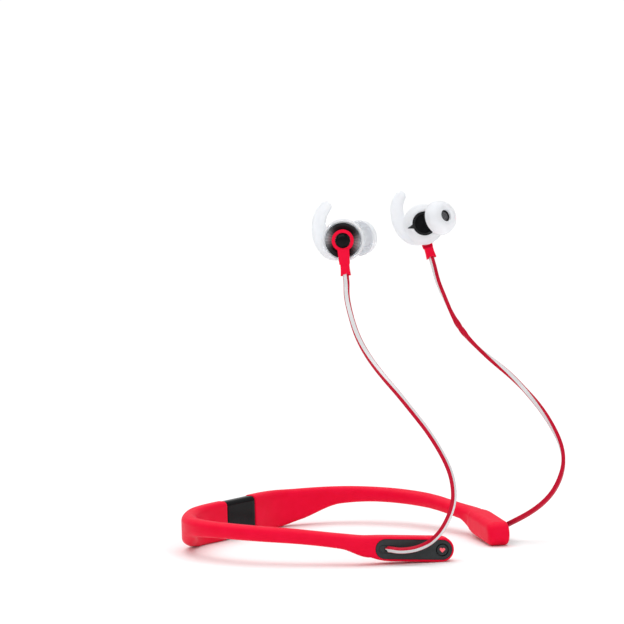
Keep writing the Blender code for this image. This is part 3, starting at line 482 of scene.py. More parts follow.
# ---------------- materials
class Shader:
    """A Principled material whose patterns follow the piece's millimetres."""

    def __init__(self, name, on_cad=False):
        self.material = bpy.data.materials.new(name)
        self.material.use_nodes = True
        self.tree = self.material.node_tree
        self.bsdf = self.tree.nodes["Principled BSDF"]
        if on_cad:
            coordinates = self.tree.nodes.new("ShaderNodeTexCoord").outputs["Object"]
            scale = self.tree.nodes.new("ShaderNodeVectorMath")
            scale.operation = "SCALE"
            scale.inputs["Scale"].default_value = 1 / MM
            self.tree.links.new(coordinates, scale.inputs[0])
            self.place = scale.outputs["Vector"]
        else:
            attribute = self.tree.nodes.new("ShaderNodeAttribute")
            attribute.attribute_name = "local"
            self.place = attribute.outputs["Vector"]

    def set(self, **values):
        for key, value in values.items():
            self.bsdf.inputs[key.replace("_", " ")].default_value = value

    def noise(self, scale, detail=3.0, stretch=None):
        node = self.tree.nodes.new("ShaderNodeTexNoise")
        node.inputs["Scale"].default_value = scale
        node.inputs["Detail"].default_value = detail
        source = self.place
        if stretch:
            mapping = self.tree.nodes.new("ShaderNodeMapping")
            mapping.inputs["Scale"].default_value = stretch
            self.tree.links.new(source, mapping.inputs["Vector"])
            source = mapping.outputs["Vector"]
        self.tree.links.new(source, node.inputs["Vector"])
        return node.outputs["Fac"]

    def voronoi(self, scale, feature="F1"):
        node = self.tree.nodes.new("ShaderNodeTexVoronoi")
        node.feature = feature
        node.inputs["Scale"].default_value = scale
        self.tree.links.new(self.place, node.inputs["Vector"])
        return node.outputs["Distance"]

    def math(self, operation, a, b=0.0):
        node = self.tree.nodes.new("ShaderNodeMath")
        node.operation = operation
        for socket, value in zip(node.inputs, (a, b)):
            if isinstance(value, (int, float)):
                socket.default_value = value
            else:
                self.tree.links.new(value, socket)
        return node.outputs["Value"]

    def span(self, value, low, high, from_low=0.3, from_high=0.7):
        node = self.tree.nodes.new("ShaderNodeMapRange")
        node.inputs["From Min"].default_value = from_low
        node.inputs["From Max"].default_value = from_high
        node.inputs["To Min"].default_value = low
        node.inputs["To Max"].default_value = high
        self.tree.links.new(value, node.inputs["Value"])
        return node.outputs["Result"]

    def mix(self, value, low, high):
        """Colours between low and high by a value from 0 to 1."""
        node = self.tree.nodes.new("ShaderNodeMix")
        node.data_type = "RGBA"
        self.tree.links.new(value, node.inputs["Factor"])
        for key, colour in (("A", low), ("B", high)):
            socket = next(s for s in node.inputs if s.name == key and s.type == "RGBA")
            if isinstance(colour, tuple):
                socket.default_value = (*colour, 1.0)
            else:
                self.tree.links.new(colour, socket)
        return next(s for s in node.outputs if s.type == "RGBA")

    def feed(self, socket, value):
        self.tree.links.new(value, self.bsdf.inputs[socket])

    def tone(self, dark, light, scale, detail=3.0):
        """Base colour in soft clouds between dark and light."""
        self.feed("Base Color", self.mix(self.span(self.noise(scale, detail), 0, 1), dark, light))

    def polish(self, low, high, scale, detail=3.0):
        """Roughness in soft clouds between low and high."""
        self.feed("Roughness", self.span(self.noise(scale, detail), low, high))

    def bump(self, height, strength, distance):
        """Add fine relief, as the last step, and return the material."""
        node = self.tree.nodes.new("ShaderNodeBump")
        node.inputs["Strength"].default_value = strength
        node.inputs["Distance"].default_value = distance * MM
        self.tree.links.new(height, node.inputs["Height"])
        self.tree.links.new(node.outputs["Normal"], self.bsdf.inputs["Normal"])
        return self.material


def coordinate(shader, axis):
    node = shader.tree.nodes.new("ShaderNodeSeparateXYZ")
    shader.tree.links.new(shader.place, node.inputs["Vector"])
    return node.outputs[axis]


def soft_red():
    """Soft-touch red silicone: a fine dry grain with slightly uneven sheen."""
    s = Shader("soft_red")
    s.set(Specular_IOR_Level=0.06, Subsurface_Weight=0.06, Subsurface_Scale=0.0008,
          Subsurface_Radius=(1.0, 0.15, 0.12), Sheen_Weight=0.03, Sheen_Roughness=0.4,
          Sheen_Tint=(1.0, 0.35, 0.42, 1.0))
    s.tone(dark=(0.81, 0.0022, 0.032), light=(0.85, 0.0036, 0.040), scale=0.18, detail=4)
    s.polish(low=0.40, high=0.48, scale=0.5)
    return s.bump(s.noise(scale=7.0, detail=4), strength=0.10, distance=0.03)


def gloss_black():
    """Polished black plastic, with the faintest waves."""
    s = Shader("gloss_black")
    s.set(Coat_Weight=0.05, Coat_Roughness=0.03, Specular_IOR_Level=0.06)
    s.tone(dark=(0.003, 0.003, 0.0035), light=(0.006, 0.006, 0.007), scale=0.4)
    s.polish(low=0.08, high=0.16, scale=0.9, detail=4)
    return s.bump(s.noise(scale=0.35, detail=2), strength=0.12, distance=0.08)


def spun_black_painted_rays():
    """The dish: dark metal turned on a lathe, with painted highlight rays in its base colour round the axis.
    """
    s = Shader("spun_black_painted_rays")
    s.set(Metallic=0.25, Anisotropic=0.8, Specular_IOR_Level=0.12)
    tangent = s.tree.nodes.new("ShaderNodeAttribute")
    tangent.attribute_name = "spin"
    s.feed("Tangent", tangent.outputs["Vector"])
    x, z = coordinate(s, "X"), coordinate(s, "Z")
    # painted highlight: the base colour lightens in rays by the angle round the axis, not by where the lamps
    # are
    turn = s.math("ADD", s.math("ARCTAN2", z, x), PAINTED_STREAK_TURN)
    painted_streak = s.math("POWER", s.math("ABSOLUTE", s.math("COSINE", turn)), PAINTED_STREAK_SHARPNESS)
    wave = s.math("SINE", s.math("MULTIPLY", turn, PAINTED_STREAK_RAYS))
    rays = s.math("MULTIPLY", painted_streak, s.span(wave, low=0.7, high=1.0, from_low=-1, from_high=1))
    radius = s.math("SQRT", s.math("ADD", s.math("MULTIPLY", x, x), s.math("MULTIPLY", z, z)))
    rings = s.math("SINE", s.math("MULTIPLY", radius, LATHE_RINGS))
    # the painted highlight rays lift the base colour from near black to grey
    s.feed("Base Color", s.mix(rays, (0.014, 0.0135, 0.015), (0.34, 0.345, 0.36)))
    s.polish(low=0.24, high=0.34, scale=1.4)
    return s.bump(rings, strength=0.12, distance=0.01)


def moulded(name, dark, light, rough=(0.42, 0.54), on_cad=False):
    """Spark-eroded plastic: a fine even grain."""
    s = Shader(name, on_cad)
    s.set(Specular_IOR_Level=0.25)
    s.tone(dark, light, scale=0.6, detail=4)
    s.polish(*rough, scale=1.6)
    return s.bump(s.noise(scale=11.0), strength=0.12, distance=0.02)


def milky():
    """Translucent white silicone, with a little painted glow standing in for the light it passes on."""
    s = Shader("milky_silicone")
    # painted light: a faint white emission stands in for light passing through the silicone
    s.set(Specular_IOR_Level=0.4, Subsurface_Weight=0.45, Subsurface_Scale=0.0025,
          Subsurface_Radius=(0.9, 0.95, 1.0), Transmission_Weight=0.35, IOR=1.25, Coat_Weight=0.12,
          Coat_Roughness=0.25, Emission_Color=(0.92, 0.95, 1.0, 1.0), Emission_Strength=0.07)
    s.tone(dark=(0.83, 0.845, 0.87), light=(0.88, 0.89, 0.91), scale=0.25)
    s.polish(low=0.34, high=0.44, scale=0.8)
    return s.bump(s.noise(scale=5.0), strength=0.06, distance=0.03)


def cable_red():
    """The cable's jacket."""
    s = Shader("cable_red")
    s.set(Specular_IOR_Level=0.1)
    s.tone(dark=(0.47, 0.003, 0.022), light=(0.54, 0.005, 0.032), scale=0.5, detail=4)
    s.polish(low=0.42, high=0.52, scale=2.0)
    return s.bump(s.noise(scale=9.0), strength=0.10, distance=0.02)


def cable_stripe():
    """The reflective stripe: fine glass beads in pale grey."""
    s = Shader("cable_stripe")
    s.set(Specular_IOR_Level=0.6, Metallic=0.1)
    beads = s.voronoi(9.0)
    spread = s.span(beads, low=0, high=1, from_low=0.0, from_high=0.8)
    s.feed("Base Color", s.mix(spread, (0.74, 0.75, 0.76), (0.64, 0.65, 0.66)))
    s.polish(low=0.34, high=0.46, scale=3.0)
    return s.bump(beads, strength=0.15, distance=0.02)


def glowing_heart():
    """The heart's light guide, with its lamp faintly on."""
    s = Shader("heart_light")
    s.set(Specular_IOR_Level=0.5, Emission_Strength=0.25, Emission_Color=(0.9, 0.10, 0.15, 1.0),
          Subsurface_Weight=0.2, Subsurface_Scale=0.0006)
    s.tone(dark=(0.86, 0.075, 0.10), light=(0.92, 0.13, 0.16), scale=1.2)
    s.polish(low=0.3, high=0.4, scale=2.0)
    return s.bump(s.noise(scale=6.0), strength=0.05, distance=0.02)


def metal(name, colour, rough=(0.25, 0.36), stretch=(1, 1, 12)):
    """Brushed metal, on the inner CAD parts."""
    s = Shader(name, on_cad=True)
    s.set(Metallic=1.0)
    grain = s.noise(scale=2.0, detail=5, stretch=stretch)
    lighter = tuple(min(1.0, c * 1.2) for c in colour)
    s.feed("Base Color", s.mix(s.span(grain, 0, 1), colour, lighter))
    s.feed("Roughness", s.span(grain, *rough))
    return s.bump(grain, strength=0.08, distance=0.01)


def woven_mesh():
    """The screen over the sound bore: fine crossed wires."""
    s = Shader("woven_mesh", on_cad=True)
    s.set(Metallic=0.8)
    cells = s.voronoi(3.2)
    wires = s.span(cells, low=0, high=1, from_low=0.1, from_high=0.6)
    s.feed("Base Color", s.mix(wires, (0.012, 0.012, 0.013), (0.16, 0.16, 0.17)))
    s.feed("Roughness", s.span(cells, low=0.6, high=0.35, from_low=0.1, from_high=0.6))
    return s.bump(cells, strength=0.6, distance=0.08)


def board_green():
    """Solder mask with faint copper tracks."""
    s = Shader("board_green", on_cad=True)
    tracks = s.voronoi(0.9, "DISTANCE_TO_EDGE")
    edges = s.span(tracks, low=0, high=1, from_low=0.02, from_high=0.05)
    s.feed("Base Color", s.mix(edges, (0.03, 0.20, 0.07), (0.008, 0.085, 0.03)))
    s.polish(low=0.35, high=0.5, scale=2.0)
    return s.bump(tracks, strength=0.2, distance=0.03)


def floor_white():
    s = Shader("floor_white", on_cad=True)
    s.tone(dark=(0.93, 0.93, 0.93), light=(0.95, 0.95, 0.95), scale=0.01)
    s.polish(low=0.85, high=0.95, scale=0.02)
    return s.material


# ---------------- cables
def cable_line(side):
    """The route from the boot to the panel, as a curve and its length."""
    ear, module = ear_place(side), module_place(side)
    top = [ear @ Vector((0, BOOT_Y, -BOOT_END - below)) for below in (GAP, BOOT_LEAD)]
    middle = [mirror_x(side) @ Vector(p) for p in CABLE_ROUTE]
    landing = [module @ Vector(p) for p in CABLE_LANDING]
    turn = radians(EXIT_ANGLE)
    end = module @ Vector((EXIT[0], EXIT[1], MODULE_MID))
    lead = end + (module.to_3x3() @ Vector((cos(turn), sin(turn), 0))) * EXIT_LEAD
    at, s = smooth_curve(top + middle + landing + [lead, end])
    return at, s[-1]


def cable_section():
    """The flat section, from one edge of the stripe round the cable and back."""
    half_w, half_t = CABLE_WIDTH / 2, CABLE_THICKNESS / 2
    right, left = half_w - CABLE_CORNER, CABLE_CORNER - half_w
    upper, lower = half_t - CABLE_CORNER, CABLE_CORNER - half_t
    outline = [(-STRIPE_HALF, half_t), (0.0, half_t), (STRIPE_HALF, half_t)]
    corners = (((right, upper), 90), ((right, lower), 0), ((left, lower), -90), ((left, upper), -180))
    for centre, start in corners:
        outline += arc(centre, CABLE_CORNER, start, start - 90, 4)
    return outline


def make_cable(side, mats):
    """A flat twisted ribbon with a pale stripe let into one face."""
    name = SIDES[side]
    at, length = cable_line(side)
    shares, turns = zip(*CABLE_TWIST[side])
    outline = cable_section()
    count, tail = 330, 2
    rings, path = [], []
    for k in range(-tail, count + tail + 1):
        d = length * k / count
        on = min(max(d, 0.0), length)
        ahead = at(min(on + SLOPE_STEP, length)) - at(max(on - SLOPE_STEP, 0.0))
        ahead = Vector(ahead / np.linalg.norm(ahead))
        centre = Vector(at(on)) + ahead * (d - on)
        across = TWIST_FROM.cross(ahead).normalized()
        facing = ahead.cross(across)
        angle = radians(float(np.interp(on / length, shares, turns)))
        face = facing * cos(angle) + across * sin(angle)
        wide = ahead.cross(face)
        rings.append([centre + wide * w + face * t for w, t in outline])
        path.append(centre)
    obj = piece(f"cable_{name}_ribbon", loft(rings, accent=(0, 1)), [mats["cable"], mats["stripe"]],
                Matrix.Identity(4), f"{name}_arm", [f"cable_{name}"])


# ---------------- the band
def band_frame(distance):
    on = min(distance, BAND_END)
    direction = BAND_LINE(min(on + SLOPE_STEP, BAND_END)) - BAND_LINE(max(on - SLOPE_STEP, 0))
    direction /= np.linalg.norm(direction)
    centre = BAND_LINE(on) + direction * (distance - on)
    return centre, np.array((-direction[1], direction[0]))


def section(inner, outer, bottom, top, r_inner, r_outer, steps=8):
    """A rounded box in (out, z), starting at the middle of its outer side."""
    mid, half = (top + bottom) / 2, (top - bottom) / 2
    r_in = min(r_inner, half, (inner + outer) / 2)
    r_out = min(r_outer, half, (inner + outer) / 2)
    points = [(outer, mid)]
    points += arc((outer - r_out, top - r_out), r_out, 0, 90, steps)
    points += arc((-inner + r_in, top - r_in), r_in, 90, 180, steps)
    points += [(-inner, mid)]
    points += arc((-inner + r_in, bottom + r_in), r_in, 180, 270, steps)
    points += arc((outer - r_out, bottom + r_out), r_out, 270, 360, steps)
    return points


def band_outline(distance, inset=0.0):
    distance = min(distance, BAND_END)
    half = BAND_THICKNESS(distance) / 2 - inset
    top, bottom = BAND_TOP(distance) - inset, BAND_BOTTOM(distance) + inset
    round_off = min(max((distance - ROUNDING[0]) / ROUNDING[1], 0.0), 1.0)
    corner = NAPE_CORNER + (ARM_CORNER - NAPE_CORNER) * round_off
    return section(half, half, bottom, top, corner, corner)


def band_ring(distance, inset=0.0):
    (x, y), out = band_frame(distance)
    return [Vector((x + out[0] * o, y + out[1] * o, z)) for o, z in band_outline(distance, inset)]


def module_outline(x):
    start_half = BAND[-1][4] / 2
    start_top, start_bottom = BAND[-1][2] - MODULE_LIFT, BAND[-1][3] - MODULE_LIFT
    grow, dip = min(x / NECK_SWELL, 1.0), min(x / NECK_DROP, 1.0)
    ease_grow, ease_dip = grow * grow * (3 - 2 * grow), 1 - (1 - dip) ** 2
    half = start_half + (MODULE_HALF - start_half) * ease_grow
    top = start_top + (MODULE_HEIGHT - start_top) * ease_dip
    bottom = start_bottom * (1 - ease_dip)
    r_in = ARM_CORNER + (MODULE_INNER_CORNER - ARM_CORNER) * ease_grow
    r_out = ARM_CORNER + (MODULE_OUTER_CORNER - ARM_CORNER) * ease_dip
    return section(half, half, bottom, top, r_in, r_out)


def tip_rings(half, steps=32):
    """The module's round tip: its section turned half round, in module coordinates."""
    for k in range(steps + 1):
        turn = pi * k / steps
        x_part, z_part = sin(turn), cos(turn)
        yield [Vector((TIP_CENTRE + (z - MODULE_MID) * x_part, o, MODULE_MID + (z - MODULE_MID) * z_part))
               for o, z in half]


def skin(with_band):
    """The module's outer form, in its own frame, with or without the band before it."""
    rings = []
    if with_band:
        back = MODULE_FRAME.inverted()
        start = COVER_HALF_WIDTH + GAP
        eased, count = SLEEVE_EDGE[-1][0], 150
        run = BAND_END - start - eased
        places = [(start + on, inset) for on, inset in SLEEVE_EDGE]
        places += [(start + eased + run * i / count, 0.0) for i in range(1, count)]
        rings = [[back @ p for p in band_ring(d, inset)] for d, inset in places]
    neck, rest = 18, 14
    stops = [NECK_DROP * i / neck for i in range(neck + 1)]
    stops += [NECK_DROP + (TIP_CENTRE - NECK_DROP) * i / rest for i in range(1, rest + 1)]
    rings += [[Vector((x, o, z)) for o, z in module_outline(x)] for x in stops]
    bm = bmesh.new()
    rows = strips(bm, rings)
    bm.faces.new(rows[0][::-1])
    half = module_outline(TIP_CENTRE)[:len(rows[0]) // 2 + 1]
    strips(bm, tip_rings(half), closed=False)
    return mesh_object(bm)


def pocket_rim():
    """A cutter that widens outward, to break the edge of the panel's pocket."""
    low, high, spread = POCKET_RIM
    return loft([[Vector((x, y, z)) for x, z in panel_pocket(extra)]
                 for y, extra in ((low, 0.0), (high, spread))])


def panel_pocket(extra=0.0):
    rear, front, half = PANEL
    return stadium(rear - PANEL_GAP - extra, front + PANEL_GAP + extra, half + PANEL_GAP + extra)


def make_skin(side, mats):
    """One red skin from the nape to the module's tip."""
    name = SIDES[side]
    body = skin(with_band=True)
    body = combine(body, prism([panel_pocket()], LEDGE, MODULE_HALF + OVERLAP))
    body = combine(body, pocket_rim())
    body = combine(body, prism([stadium(*CAVITY)], CAVITY_FLOOR, LEDGE + OVERLAP))
    if side == RIGHT:
        rear, front = PORT_COVER
        body = combine(body, block(
            (rear - GAP, -MODULE_HALF - OVERLAP, MODULE_MID - PORT_HALF_HEIGHT - GAP),
            (front + GAP, PORT_COVER_BACK + GAP, MODULE_MID + PORT_HALF_HEIGHT + GAP)))
        rear, front = SOCKET
        body = combine(body, block(
            (rear, -MODULE_HALF, MODULE_MID - SOCKET_HALF_HEIGHT),
            (front, CAVITY_FLOOR + OVERLAP, MODULE_MID + SOCKET_HALF_HEIGHT)))
    else:
        x, radius = MICROPHONE_HOLE
        hole = cylinder(radius, low=-3, high=3, steps=24)
        body = combine(body, moved(hole, Matrix.Translation((x, 0, 0))))
    obj = piece(f"band_skin_{name}", body, mats["red"], module_place(side), None,
                [f"nape_sleeve_{name}", f"arm_sleeve_{name}", f"module_housing_{name}"], flat=True)
    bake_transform(obj)


def make_nape_cover(mats):
    """The glossy section at the nape, with a neck at each end that closes the joint."""
    places = [(COVER_HALF_WIDTH + on, inset) for on, inset in COVER_EDGE]
    last, count = len(places) - 1, 22
    full = places[last][0]
    places += [(full * (1 - 2 * i / count), 0.0) for i in range(1, count)]
    places += [(-x, inset) for x, inset in places[last::-1]]
    rings = []
    for x, inset in places:
        y = BAND_LINE(abs(x))[1]
        outline = band_outline(abs(x), COVER_RECESS + inset)
        rings.append([Vector((x, y + o, z)) for o, z in outline])
    piece("nape_cover_gloss", loft(rings), mats["gloss"], Matrix.Identity(4), "nape",
          ["nape_cover"], flat=True)


# ---------------- the modules
def make_panel(side, mats, places, radius):
    """The inlay with a hole for each button, and the insert round the cable."""
    name, place = SIDES[side], module_place(side)
    beyond = MODULE_HALF + OVERLAP
    plate = prism([stadium(*PANEL)], PANEL_BACK, PANEL_FACE)
    for x in places:
        plate = combine(plate, prism([circle(radius, centre=(x, MODULE_MID))], LEDGE, beyond))
    plate = combine(plate, prism([stadium(*CABLE_SLOT)], LEDGE, beyond))
    plate = bevelled(plate, width=0.14, segments=3)
    piece(f"panel_{name}", plate, mats["charcoal"], place, f"{name}_arm",
          [f"control_panel_{name}"], flat=True)
    insert = bevelled(prism([stadium(*CABLE_SEAT)], *SEAT_DEPTH), width=0.12, segments=2)
    piece(f"cable_seat_{name}", insert, mats["charcoal"], place, f"{name}_arm", flat=True)


def button_cap(radius):
    """A cap with a shallow dish, a flange behind the panel and a stem."""
    profile = [(0, 4.72), (radius * 0.45, 4.75), (radius * 0.8, 4.86), (radius - 0.22, 4.93),
               (radius - 0.08, 4.87), (radius, 4.72), (radius, 3.45), (radius + 0.55, 3.45),
               (radius + 0.55, 3.0), (1.0, 3.0), (1.0, 1.75), (0, 1.75)]
    return along_y(turned(profile))


def heart_outline(width, steps=18):
    """Two round lobes and a point below them, at the heart button's centre."""
    lobe = width / 4
    points = arc((lobe, 0), lobe, -30, 180, steps) + arc((-lobe, 0), lobe, 0, 210, steps)[1:]
    points.append((0, -width * 0.62))
    return [(BUTTON_X + x, MODULE_MID + z + width * 0.12) for x, z in points]


def make_button(side, mats, node, x, radius, body):
    cap = moved(button_cap(radius), Matrix.Translation((x, 0, MODULE_MID)))
    if node == "heart_button":
        width, low, high = HEART_RECESS
        sign = prism([heart_outline(width)], low, high)
    else:
        sign = button_mark(node, x)
    cap = combine(cap, sign)
    piece(f"{node}_cap", cap, mats["button"], module_place(side), body, [node], flat=True)


def button_mark(node, x):
    """A shallow sign let into a remote button: plus, minus or a dot."""
    low, high, half, long = 4.6, 6.0, 0.16, 0.85
    if node == "call_button":
        return prism([circle(0.5, 32, centre=(x, MODULE_MID))], low, high)
    across = block((x - long, low, MODULE_MID - half), (x + long, high, MODULE_MID + half))
    if node == "volume_down_button":
        return across
    upright = block((x - half, low, MODULE_MID - long), (x + half, high, MODULE_MID + long))
    return combine(across, upright, "UNION")


def make_heart(mats):
    width, low, high = HEART_LIGHT
    light = bevelled(prism([heart_outline(width)], low, high), width=0.1, segments=2)
    piece("heart_inlay", light, mats["heart"], module_place(RIGHT), "heart_key",
          ["heart_light"], flat=True)


def make_port_cover(mats):
    """The flap over the charging socket, with a thumb notch and a soft edge."""
    rear, front = PORT_COVER
    low = (rear, -MODULE_HALF - OVERLAP, MODULE_MID - PORT_HALF_HEIGHT)
    high = (front, PORT_COVER_BACK, MODULE_MID + PORT_HALF_HEIGHT)
    cover = combine(skin(with_band=False), block(low, high), "INTERSECT")
    notch = along_y(cylinder(0.9, low=-0.4, high=0.4, steps=32))
    notch = moved(notch, Matrix.Translation((front, -MODULE_HALF - 0.1, MODULE_MID)))
    cover = bevelled(combine(cover, notch), width=0.12, segments=2)
    piece("port_flap", cover, mats["red"], module_place(RIGHT), "port_flap",
          ["port_cover"], flat=True)


def make_modules(mats):
    places = [BUTTON_X - BUTTON_PITCH * i for i in range(3)]
    make_panel(RIGHT, mats, places[:1], HEART_BUTTON[1])
    make_panel(LEFT, mats, places, REMOTE_BUTTON[1])
    make_button(RIGHT, mats, "heart_button", BUTTON_X, HEART_BUTTON[0], "heart_key")
    for key, x in zip(("volume_up", "call", "volume_down"), places):
        make_button(LEFT, mats, f"{key}_button", x, REMOTE_BUTTON[0], f"{key}_key")
    make_heart(mats)
    make_port_cover(mats)


# ---------------- the earpieces
def make_dish(side, mats):
    """The spun dish, with its shine running round the axis and highlight rays painted into its colour, and
    the cap on it.
    """
    name, place = SIDES[side], ear_place(side)
    bowl = [(0, -1.3), (4.6, -1.3), (5.2, -1.2), (6.9, -0.12), (7.25, 0.0), (7.5, -0.02), (7.68, -0.15),
            (7.75, -0.4), (7.75, -2.1), (7.65, -2.2), (0, -2.2)]
    dish = along_y(turned(bowl, 96))
    spin = [place.to_3x3() @ Vector((-v.co.z, 0, v.co.x)).normalized() for v in dish.data.vertices]
    layer = dish.data.attributes.new("spin", "FLOAT_VECTOR", "POINT")
    layer.data.foreach_set("vector", np.array(spin, np.float32).ravel())
    piece(f"dish_{name}", dish, mats["spun"], place, f"{name}_arm", [f"back_dish_{name}"],
          flat=True)
    crown = [(0, 0.42), (1.8, 0.40), (2.7, 0.32), (2.95, 0.2), (3.05, 0.0), (3.05, -1.0), (0, -1.0)]
    piece(f"dish_cap_{name}", along_y(turned(crown)), mats["gloss"], place, f"{name}_arm",
          [f"back_cap_{name}"], flat=True)


def make_yoke(side, mats):
    """The red ring with its strap, moulded in one, and the boot under it."""
    name, place = SIDES[side], ear_place(side)
    ring = prism([circle(4.85, 64), circle(3.4, 56)[::-1]], y_low=-0.95, y_high=0.65)
    strap = prism([[(-2.6, -3.9), (-2.3, -10.5), (2.3, -10.5), (2.6, -3.9)]], y_low=0.35, y_high=1.95)
    yoke = softened(joined(ring, strap), voxel=0.13, rounds=6)
    piece(f"yoke_{name}", yoke, mats["red"], place, f"{name}_arm",
          [f"cable_yoke_{name}"], angle=60)
    # the boot widens a little downward, and its end forks round the cable
    half = [(1.95, -10.3), (1.95, -12.5), (2.15, -BOOT_END), (2.25, -15.5)]
    boot = prism([[(-x, z) for x, z in half] + half[::-1]], y_low=-1.15, y_high=1.7)
    boot = combine(boot, block((-1.35, -2.0, -16.0), (1.35, 2.5, -BOOT_END)))
    boot = softened(boot, voxel=0.11, rounds=5)
    piece(f"boot_{name}", boot, mats["red"], place, f"{name}_arm",
          [f"cable_boot_{name}"], angle=60)


def key_outline(gap=0.0):
    """The housing's key, tapering to a point in its slot in the ear sleeve."""
    upper = [(-7.3, 0.25), (-6.5, 0.45), (-5.6, 0.8), (-4.9, 1.3), (-4.4, 1.9)]
    upper = [(x, z + gap) for x, z in upper]
    return [(-7.9 - 1.5 * gap, 0.0)] + upper + [(x, -z) for x, z in reversed(upper)]


def make_ear_housing(side, mats):
    """The housing with its nozzle, both hollow, and the left one's sensor lens."""
    name, place = SIDES[side], ear_place(side)
    bowl = [(0, -2.5), (7.0, -2.5), (7.2, -2.7), (7.2, -6.5), (6.9, -6.95), (5.3, -8.6), (4.9, -8.92),
            (4.6, -9.0), (0, -9.0)]
    body = combine(along_y(turned(bowl)), prism([key_outline()], y_low=-8.8, y_high=-6.9), "UNION")
    if side == LEFT:
        body = combine(body, along_y(cylinder(4.6, low=-10.0, high=-8.4)))
    end = NOZZLE_END
    nozzle = [(0, end), (2.6, end), (2.8, end - 0.12), (2.9, end - 0.35), (2.6, end - 1.0),
              (2.6, 2.5), (0, 2.5)]
    body = combine(body, on_nozzle(turned(nozzle, 48)), "UNION")
    body = combine(body, along_y(cylinder(6.3, low=-7.6, high=-1.0)))
    bore = [(0, end + 1), (2.3, end + 1), (2.3, end - 0.8), (1.8, end - 0.8), (1.8, 1.0), (0, 1.0)]
    body = combine(body, on_nozzle(turned(bore, 40)))
    piece(f"ear_shell_{name}", body, mats["black"], place, f"{name}_arm",
          [f"ear_housing_{name}"], flat=True)
    if side == LEFT:
        lens = [(0, -8.72), (4.3, -8.72), (4.3, -9.1), (4.15, -9.24), (0, -9.25)]
        lens = combine(along_y(turned(lens, 56)), on_nozzle(cylinder(3.0, low=0, high=20)))
        piece("sensor_lens", lens, mats["gloss"], place, "left_arm", ["sensor_window"],
              flat=True)


def fin_shape():
    """The horn that rises behind the ear sleeve and hooks forward, with a round end."""
    line = ((-1.5, -7.4), (-6.3, -5.6), (-9.1, -1.6), (-10.3, 3.0), (-10.15, 8.0), (-8.8, 12.3), (-6.4, 15.3))
    at, s = smooth_curve(line)
    width = monotone(s, (1.6, 2.5, 3.1, 3.25, 3.1, 2.9, 2.55))
    depth = monotone(s, (2.2, 2.0, 1.8, 1.6, 1.45, 1.3, 1.15))
    steps, ends, tip = 40, 10, s[-1]
    rings = []
    for i in range(steps + 1):
        d = tip * i / steps
        rings.append(fin_ring(at, tip, d, width(d), depth(d), 0.0))
    for k in range(1, ends + 1):
        turn = pi / 2 * k / (ends + 0.1)
        rings.append(fin_ring(at, tip, tip, width(tip) * cos(turn), depth(tip) * cos(turn),
                              width(tip) * sin(turn)))
    return loft(rings)


def fin_ring(at, tip, distance, width, depth, ahead, count=24):
    centre = at(distance)
    direction = at(min(distance + SLOPE_STEP, tip)) - at(max(distance - SLOPE_STEP, 0))
    direction /= np.linalg.norm(direction)
    across = np.array((-direction[1], direction[0]))
    points = []
    for i in range(count):
        a = 2 * pi * i / count
        x, z = centre + direction * ahead + across * width * cos(a)
        points.append(Vector((x, FIN_Y + depth * sin(a), z)))
    return points


def make_ear_rubber(side, mats):
    """The ear sleeve with its fin, melted into one soft form, and the ear tip."""
    name, place = SIDES[side], ear_place(side)
    outer = [(8.15, -1.85), (8.7, -1.95), (9.15, -2.5), (9.3, -3.4), (9.3, -5.6), (9.1, -6.5), (8.6, -7.4),
             (7.2, -8.95), (6.6, -9.4), (6.0, -9.58), (5.55, -9.5)]
    inner = [(5.5, -8.95), (7.5, -6.85), (7.5, -2.6), (8.05, -2.5)]
    sleeve = along_y(turned(outer + inner, 72, closed=True))
    horn = combine(fin_shape(), along_y(cylinder(8.4, low=-12, high=2, steps=72)))
    rubber = softened(joined(sleeve, horn), voxel=0.2, rounds=5)
    rubber = combine(rubber, on_nozzle(cylinder(3.05, low=0, high=20)))
    rubber = combine(rubber, prism([key_outline(gap=0.18)], y_low=-11, y_high=-6.6))
    piece(f"ear_sleeve_{name}", rubber, mats["milky"], place, f"{name}_arm",
          [f"ear_fin_{name}"], angle=60)

    dome = [(2.75, 16.1), (3.3, 16.4), (4.2, 16.33), (5.2, 15.98), (6.2, 15.3), (7.0, 14.3), (7.55, 13.0),
            (7.8, 11.7), (7.9, 10.5), (7.75, 10.3)]
    under = [(7.45, 10.35), (7.25, 11.6), (6.9, 12.7), (6.4, 13.7), (5.5, 14.6), (4.5, 15.05)]
    stem = [(4.2, 14.7), (4.2, 9.4), (4.0, 9.2), (3.4, 9.2), (3.2, 9.4), (3.2, 15.1), (2.65, 15.2)]
    tip = on_nozzle(turned(dome + under + stem, 72, closed=True))
    piece(f"ear_cushion_{name}", tip, mats["milky"], place, f"{name}_tip",
          [f"ear_tip_{name}"], angle=50)


# ---------------- the rest of the frame
def dress_cad_nodes():
    """Patterned materials for the CAD nodes that are shown as they are."""
    looks = {
        "steel": metal("steel_inner", (0.50, 0.50, 0.51)),
        "nozzle_mesh": woven_mesh(),
        "board_green": board_green(),
        "battery_wrap": metal("battery_foil", (0.10, 0.12, 0.16), (0.3, 0.5), (1, 1, 1)),
        "wire_insulation": moulded("wire_insulation", (0.012, 0.012, 0.013), (0.03, 0.03, 0.03), on_cad=True),
        "dark_rubber": moulded("dark_rubber", (0.012, 0.012, 0.012), (0.024, 0.024, 0.024),
                               rough=(0.6, 0.75), on_cad=True),
    }
    slots = {part["node"]: part["material_slot"] for part in frame["record"]["subparts"]}
    for node, obj in frame["nodes"].items():
        if not obj.hide_render and slots[node] in looks:
            for slot in obj.material_slots:
                slot.link = "OBJECT"
                slot.material = looks[slots[node]]


def aimed(data, name, place, aim):
    light = link(bpy.data.objects.new(name, data))
    light.location = place
    light.rotation_mode = "QUATERNION"
    light.rotation_quaternion = (Vector(aim) - Vector(place)).to_track_quat("-Z", "Y")


def area_light(name, place, aim, width, height, power):
    data = bpy.data.lights.new(name, "AREA")
    data.shape = "RECTANGLE"
    data.size, data.size_y = width, height
    data.energy = power
    aimed(data, name, place, aim)


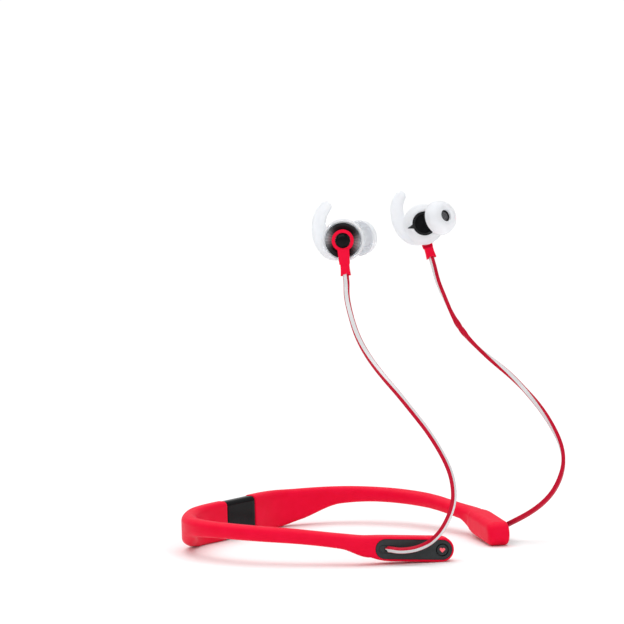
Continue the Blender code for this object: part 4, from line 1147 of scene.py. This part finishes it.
def make_world():
    """White behind the object, and a dimmer surround for its reflections."""
    world = bpy.data.worlds.new("studio")
    world.use_nodes = True
    nodes, links = world.node_tree.nodes, world.node_tree.links
    rays = nodes.new("ShaderNodeLightPath")
    strength = nodes.new("ShaderNodeMapRange")
    strength.inputs["To Min"].default_value = SURROUND
    strength.inputs["To Max"].default_value = BACKDROP
    links.new(rays.outputs["Is Camera Ray"], strength.inputs["Value"])
    background = nodes["Background"]
    background.inputs["Color"].default_value = (1.0, 1.0, 1.0, 1.0)
    links.new(strength.outputs["Result"], background.inputs["Strength"])
    bpy.context.scene.world = world


def make_studio():
    bm = bmesh.new()
    half = 30.0
    corners = ((-half, -half), (half, -half), (half, half), (-half, half))
    bm.faces.new([bm.verts.new((x, y, 0)) for x, y in corners])
    floor = mesh_object(bm)
    floor.name = "floor"
    floor.data.materials.append(floor_white())
    make_world()
    sun = bpy.data.lights.new("ceiling", "SUN")
    sun.energy = CEILING
    sun.angle = radians(CEILING_SPREAD)
    aimed(sun, "ceiling", place=(0.1, 0.25, 1.0), aim=(0, 0, 0))
    centre = (0, 0, 0.05)
    area_light("front_box", (-1.1, -0.35, 0.5), centre, width=0.5, height=0.5, power=FRONT_BOX)
    area_light("strip_box", (-0.5, -1.0, 0.7), centre, width=0.15, height=0.7, power=STRIP_BOX)
    bpy.context.scene.view_settings.view_transform = "Standard"


def main():
    make_camera()
    mats = {
        "red": soft_red(), "gloss": gloss_black(), "spun": spun_black_painted_rays(),
        "black": moulded("moulded_black", (0.007, 0.007, 0.008), (0.014, 0.014, 0.015), (0.34, 0.44)),
        "charcoal": moulded("charcoal", (0.022, 0.026, 0.028), (0.029, 0.034, 0.036)),
        "button": moulded("charcoal_button", (0.019, 0.022, 0.024), (0.026, 0.030, 0.032), (0.38, 0.48)),
        "heart": glowing_heart(), "milky": milky(), "cable": cable_red(), "stripe": cable_stripe(),
    }
    for side in (RIGHT, LEFT):
        make_cable(side, mats)
    make_nape_cover(mats)
    for side in (RIGHT, LEFT):
        make_skin(side, mats)
        make_dish(side, mats)
        make_yoke(side, mats)
        make_ear_housing(side, mats)
        make_ear_rubber(side, mats)
    make_modules(mats)
    dress_cad_nodes()
    make_studio()


main()
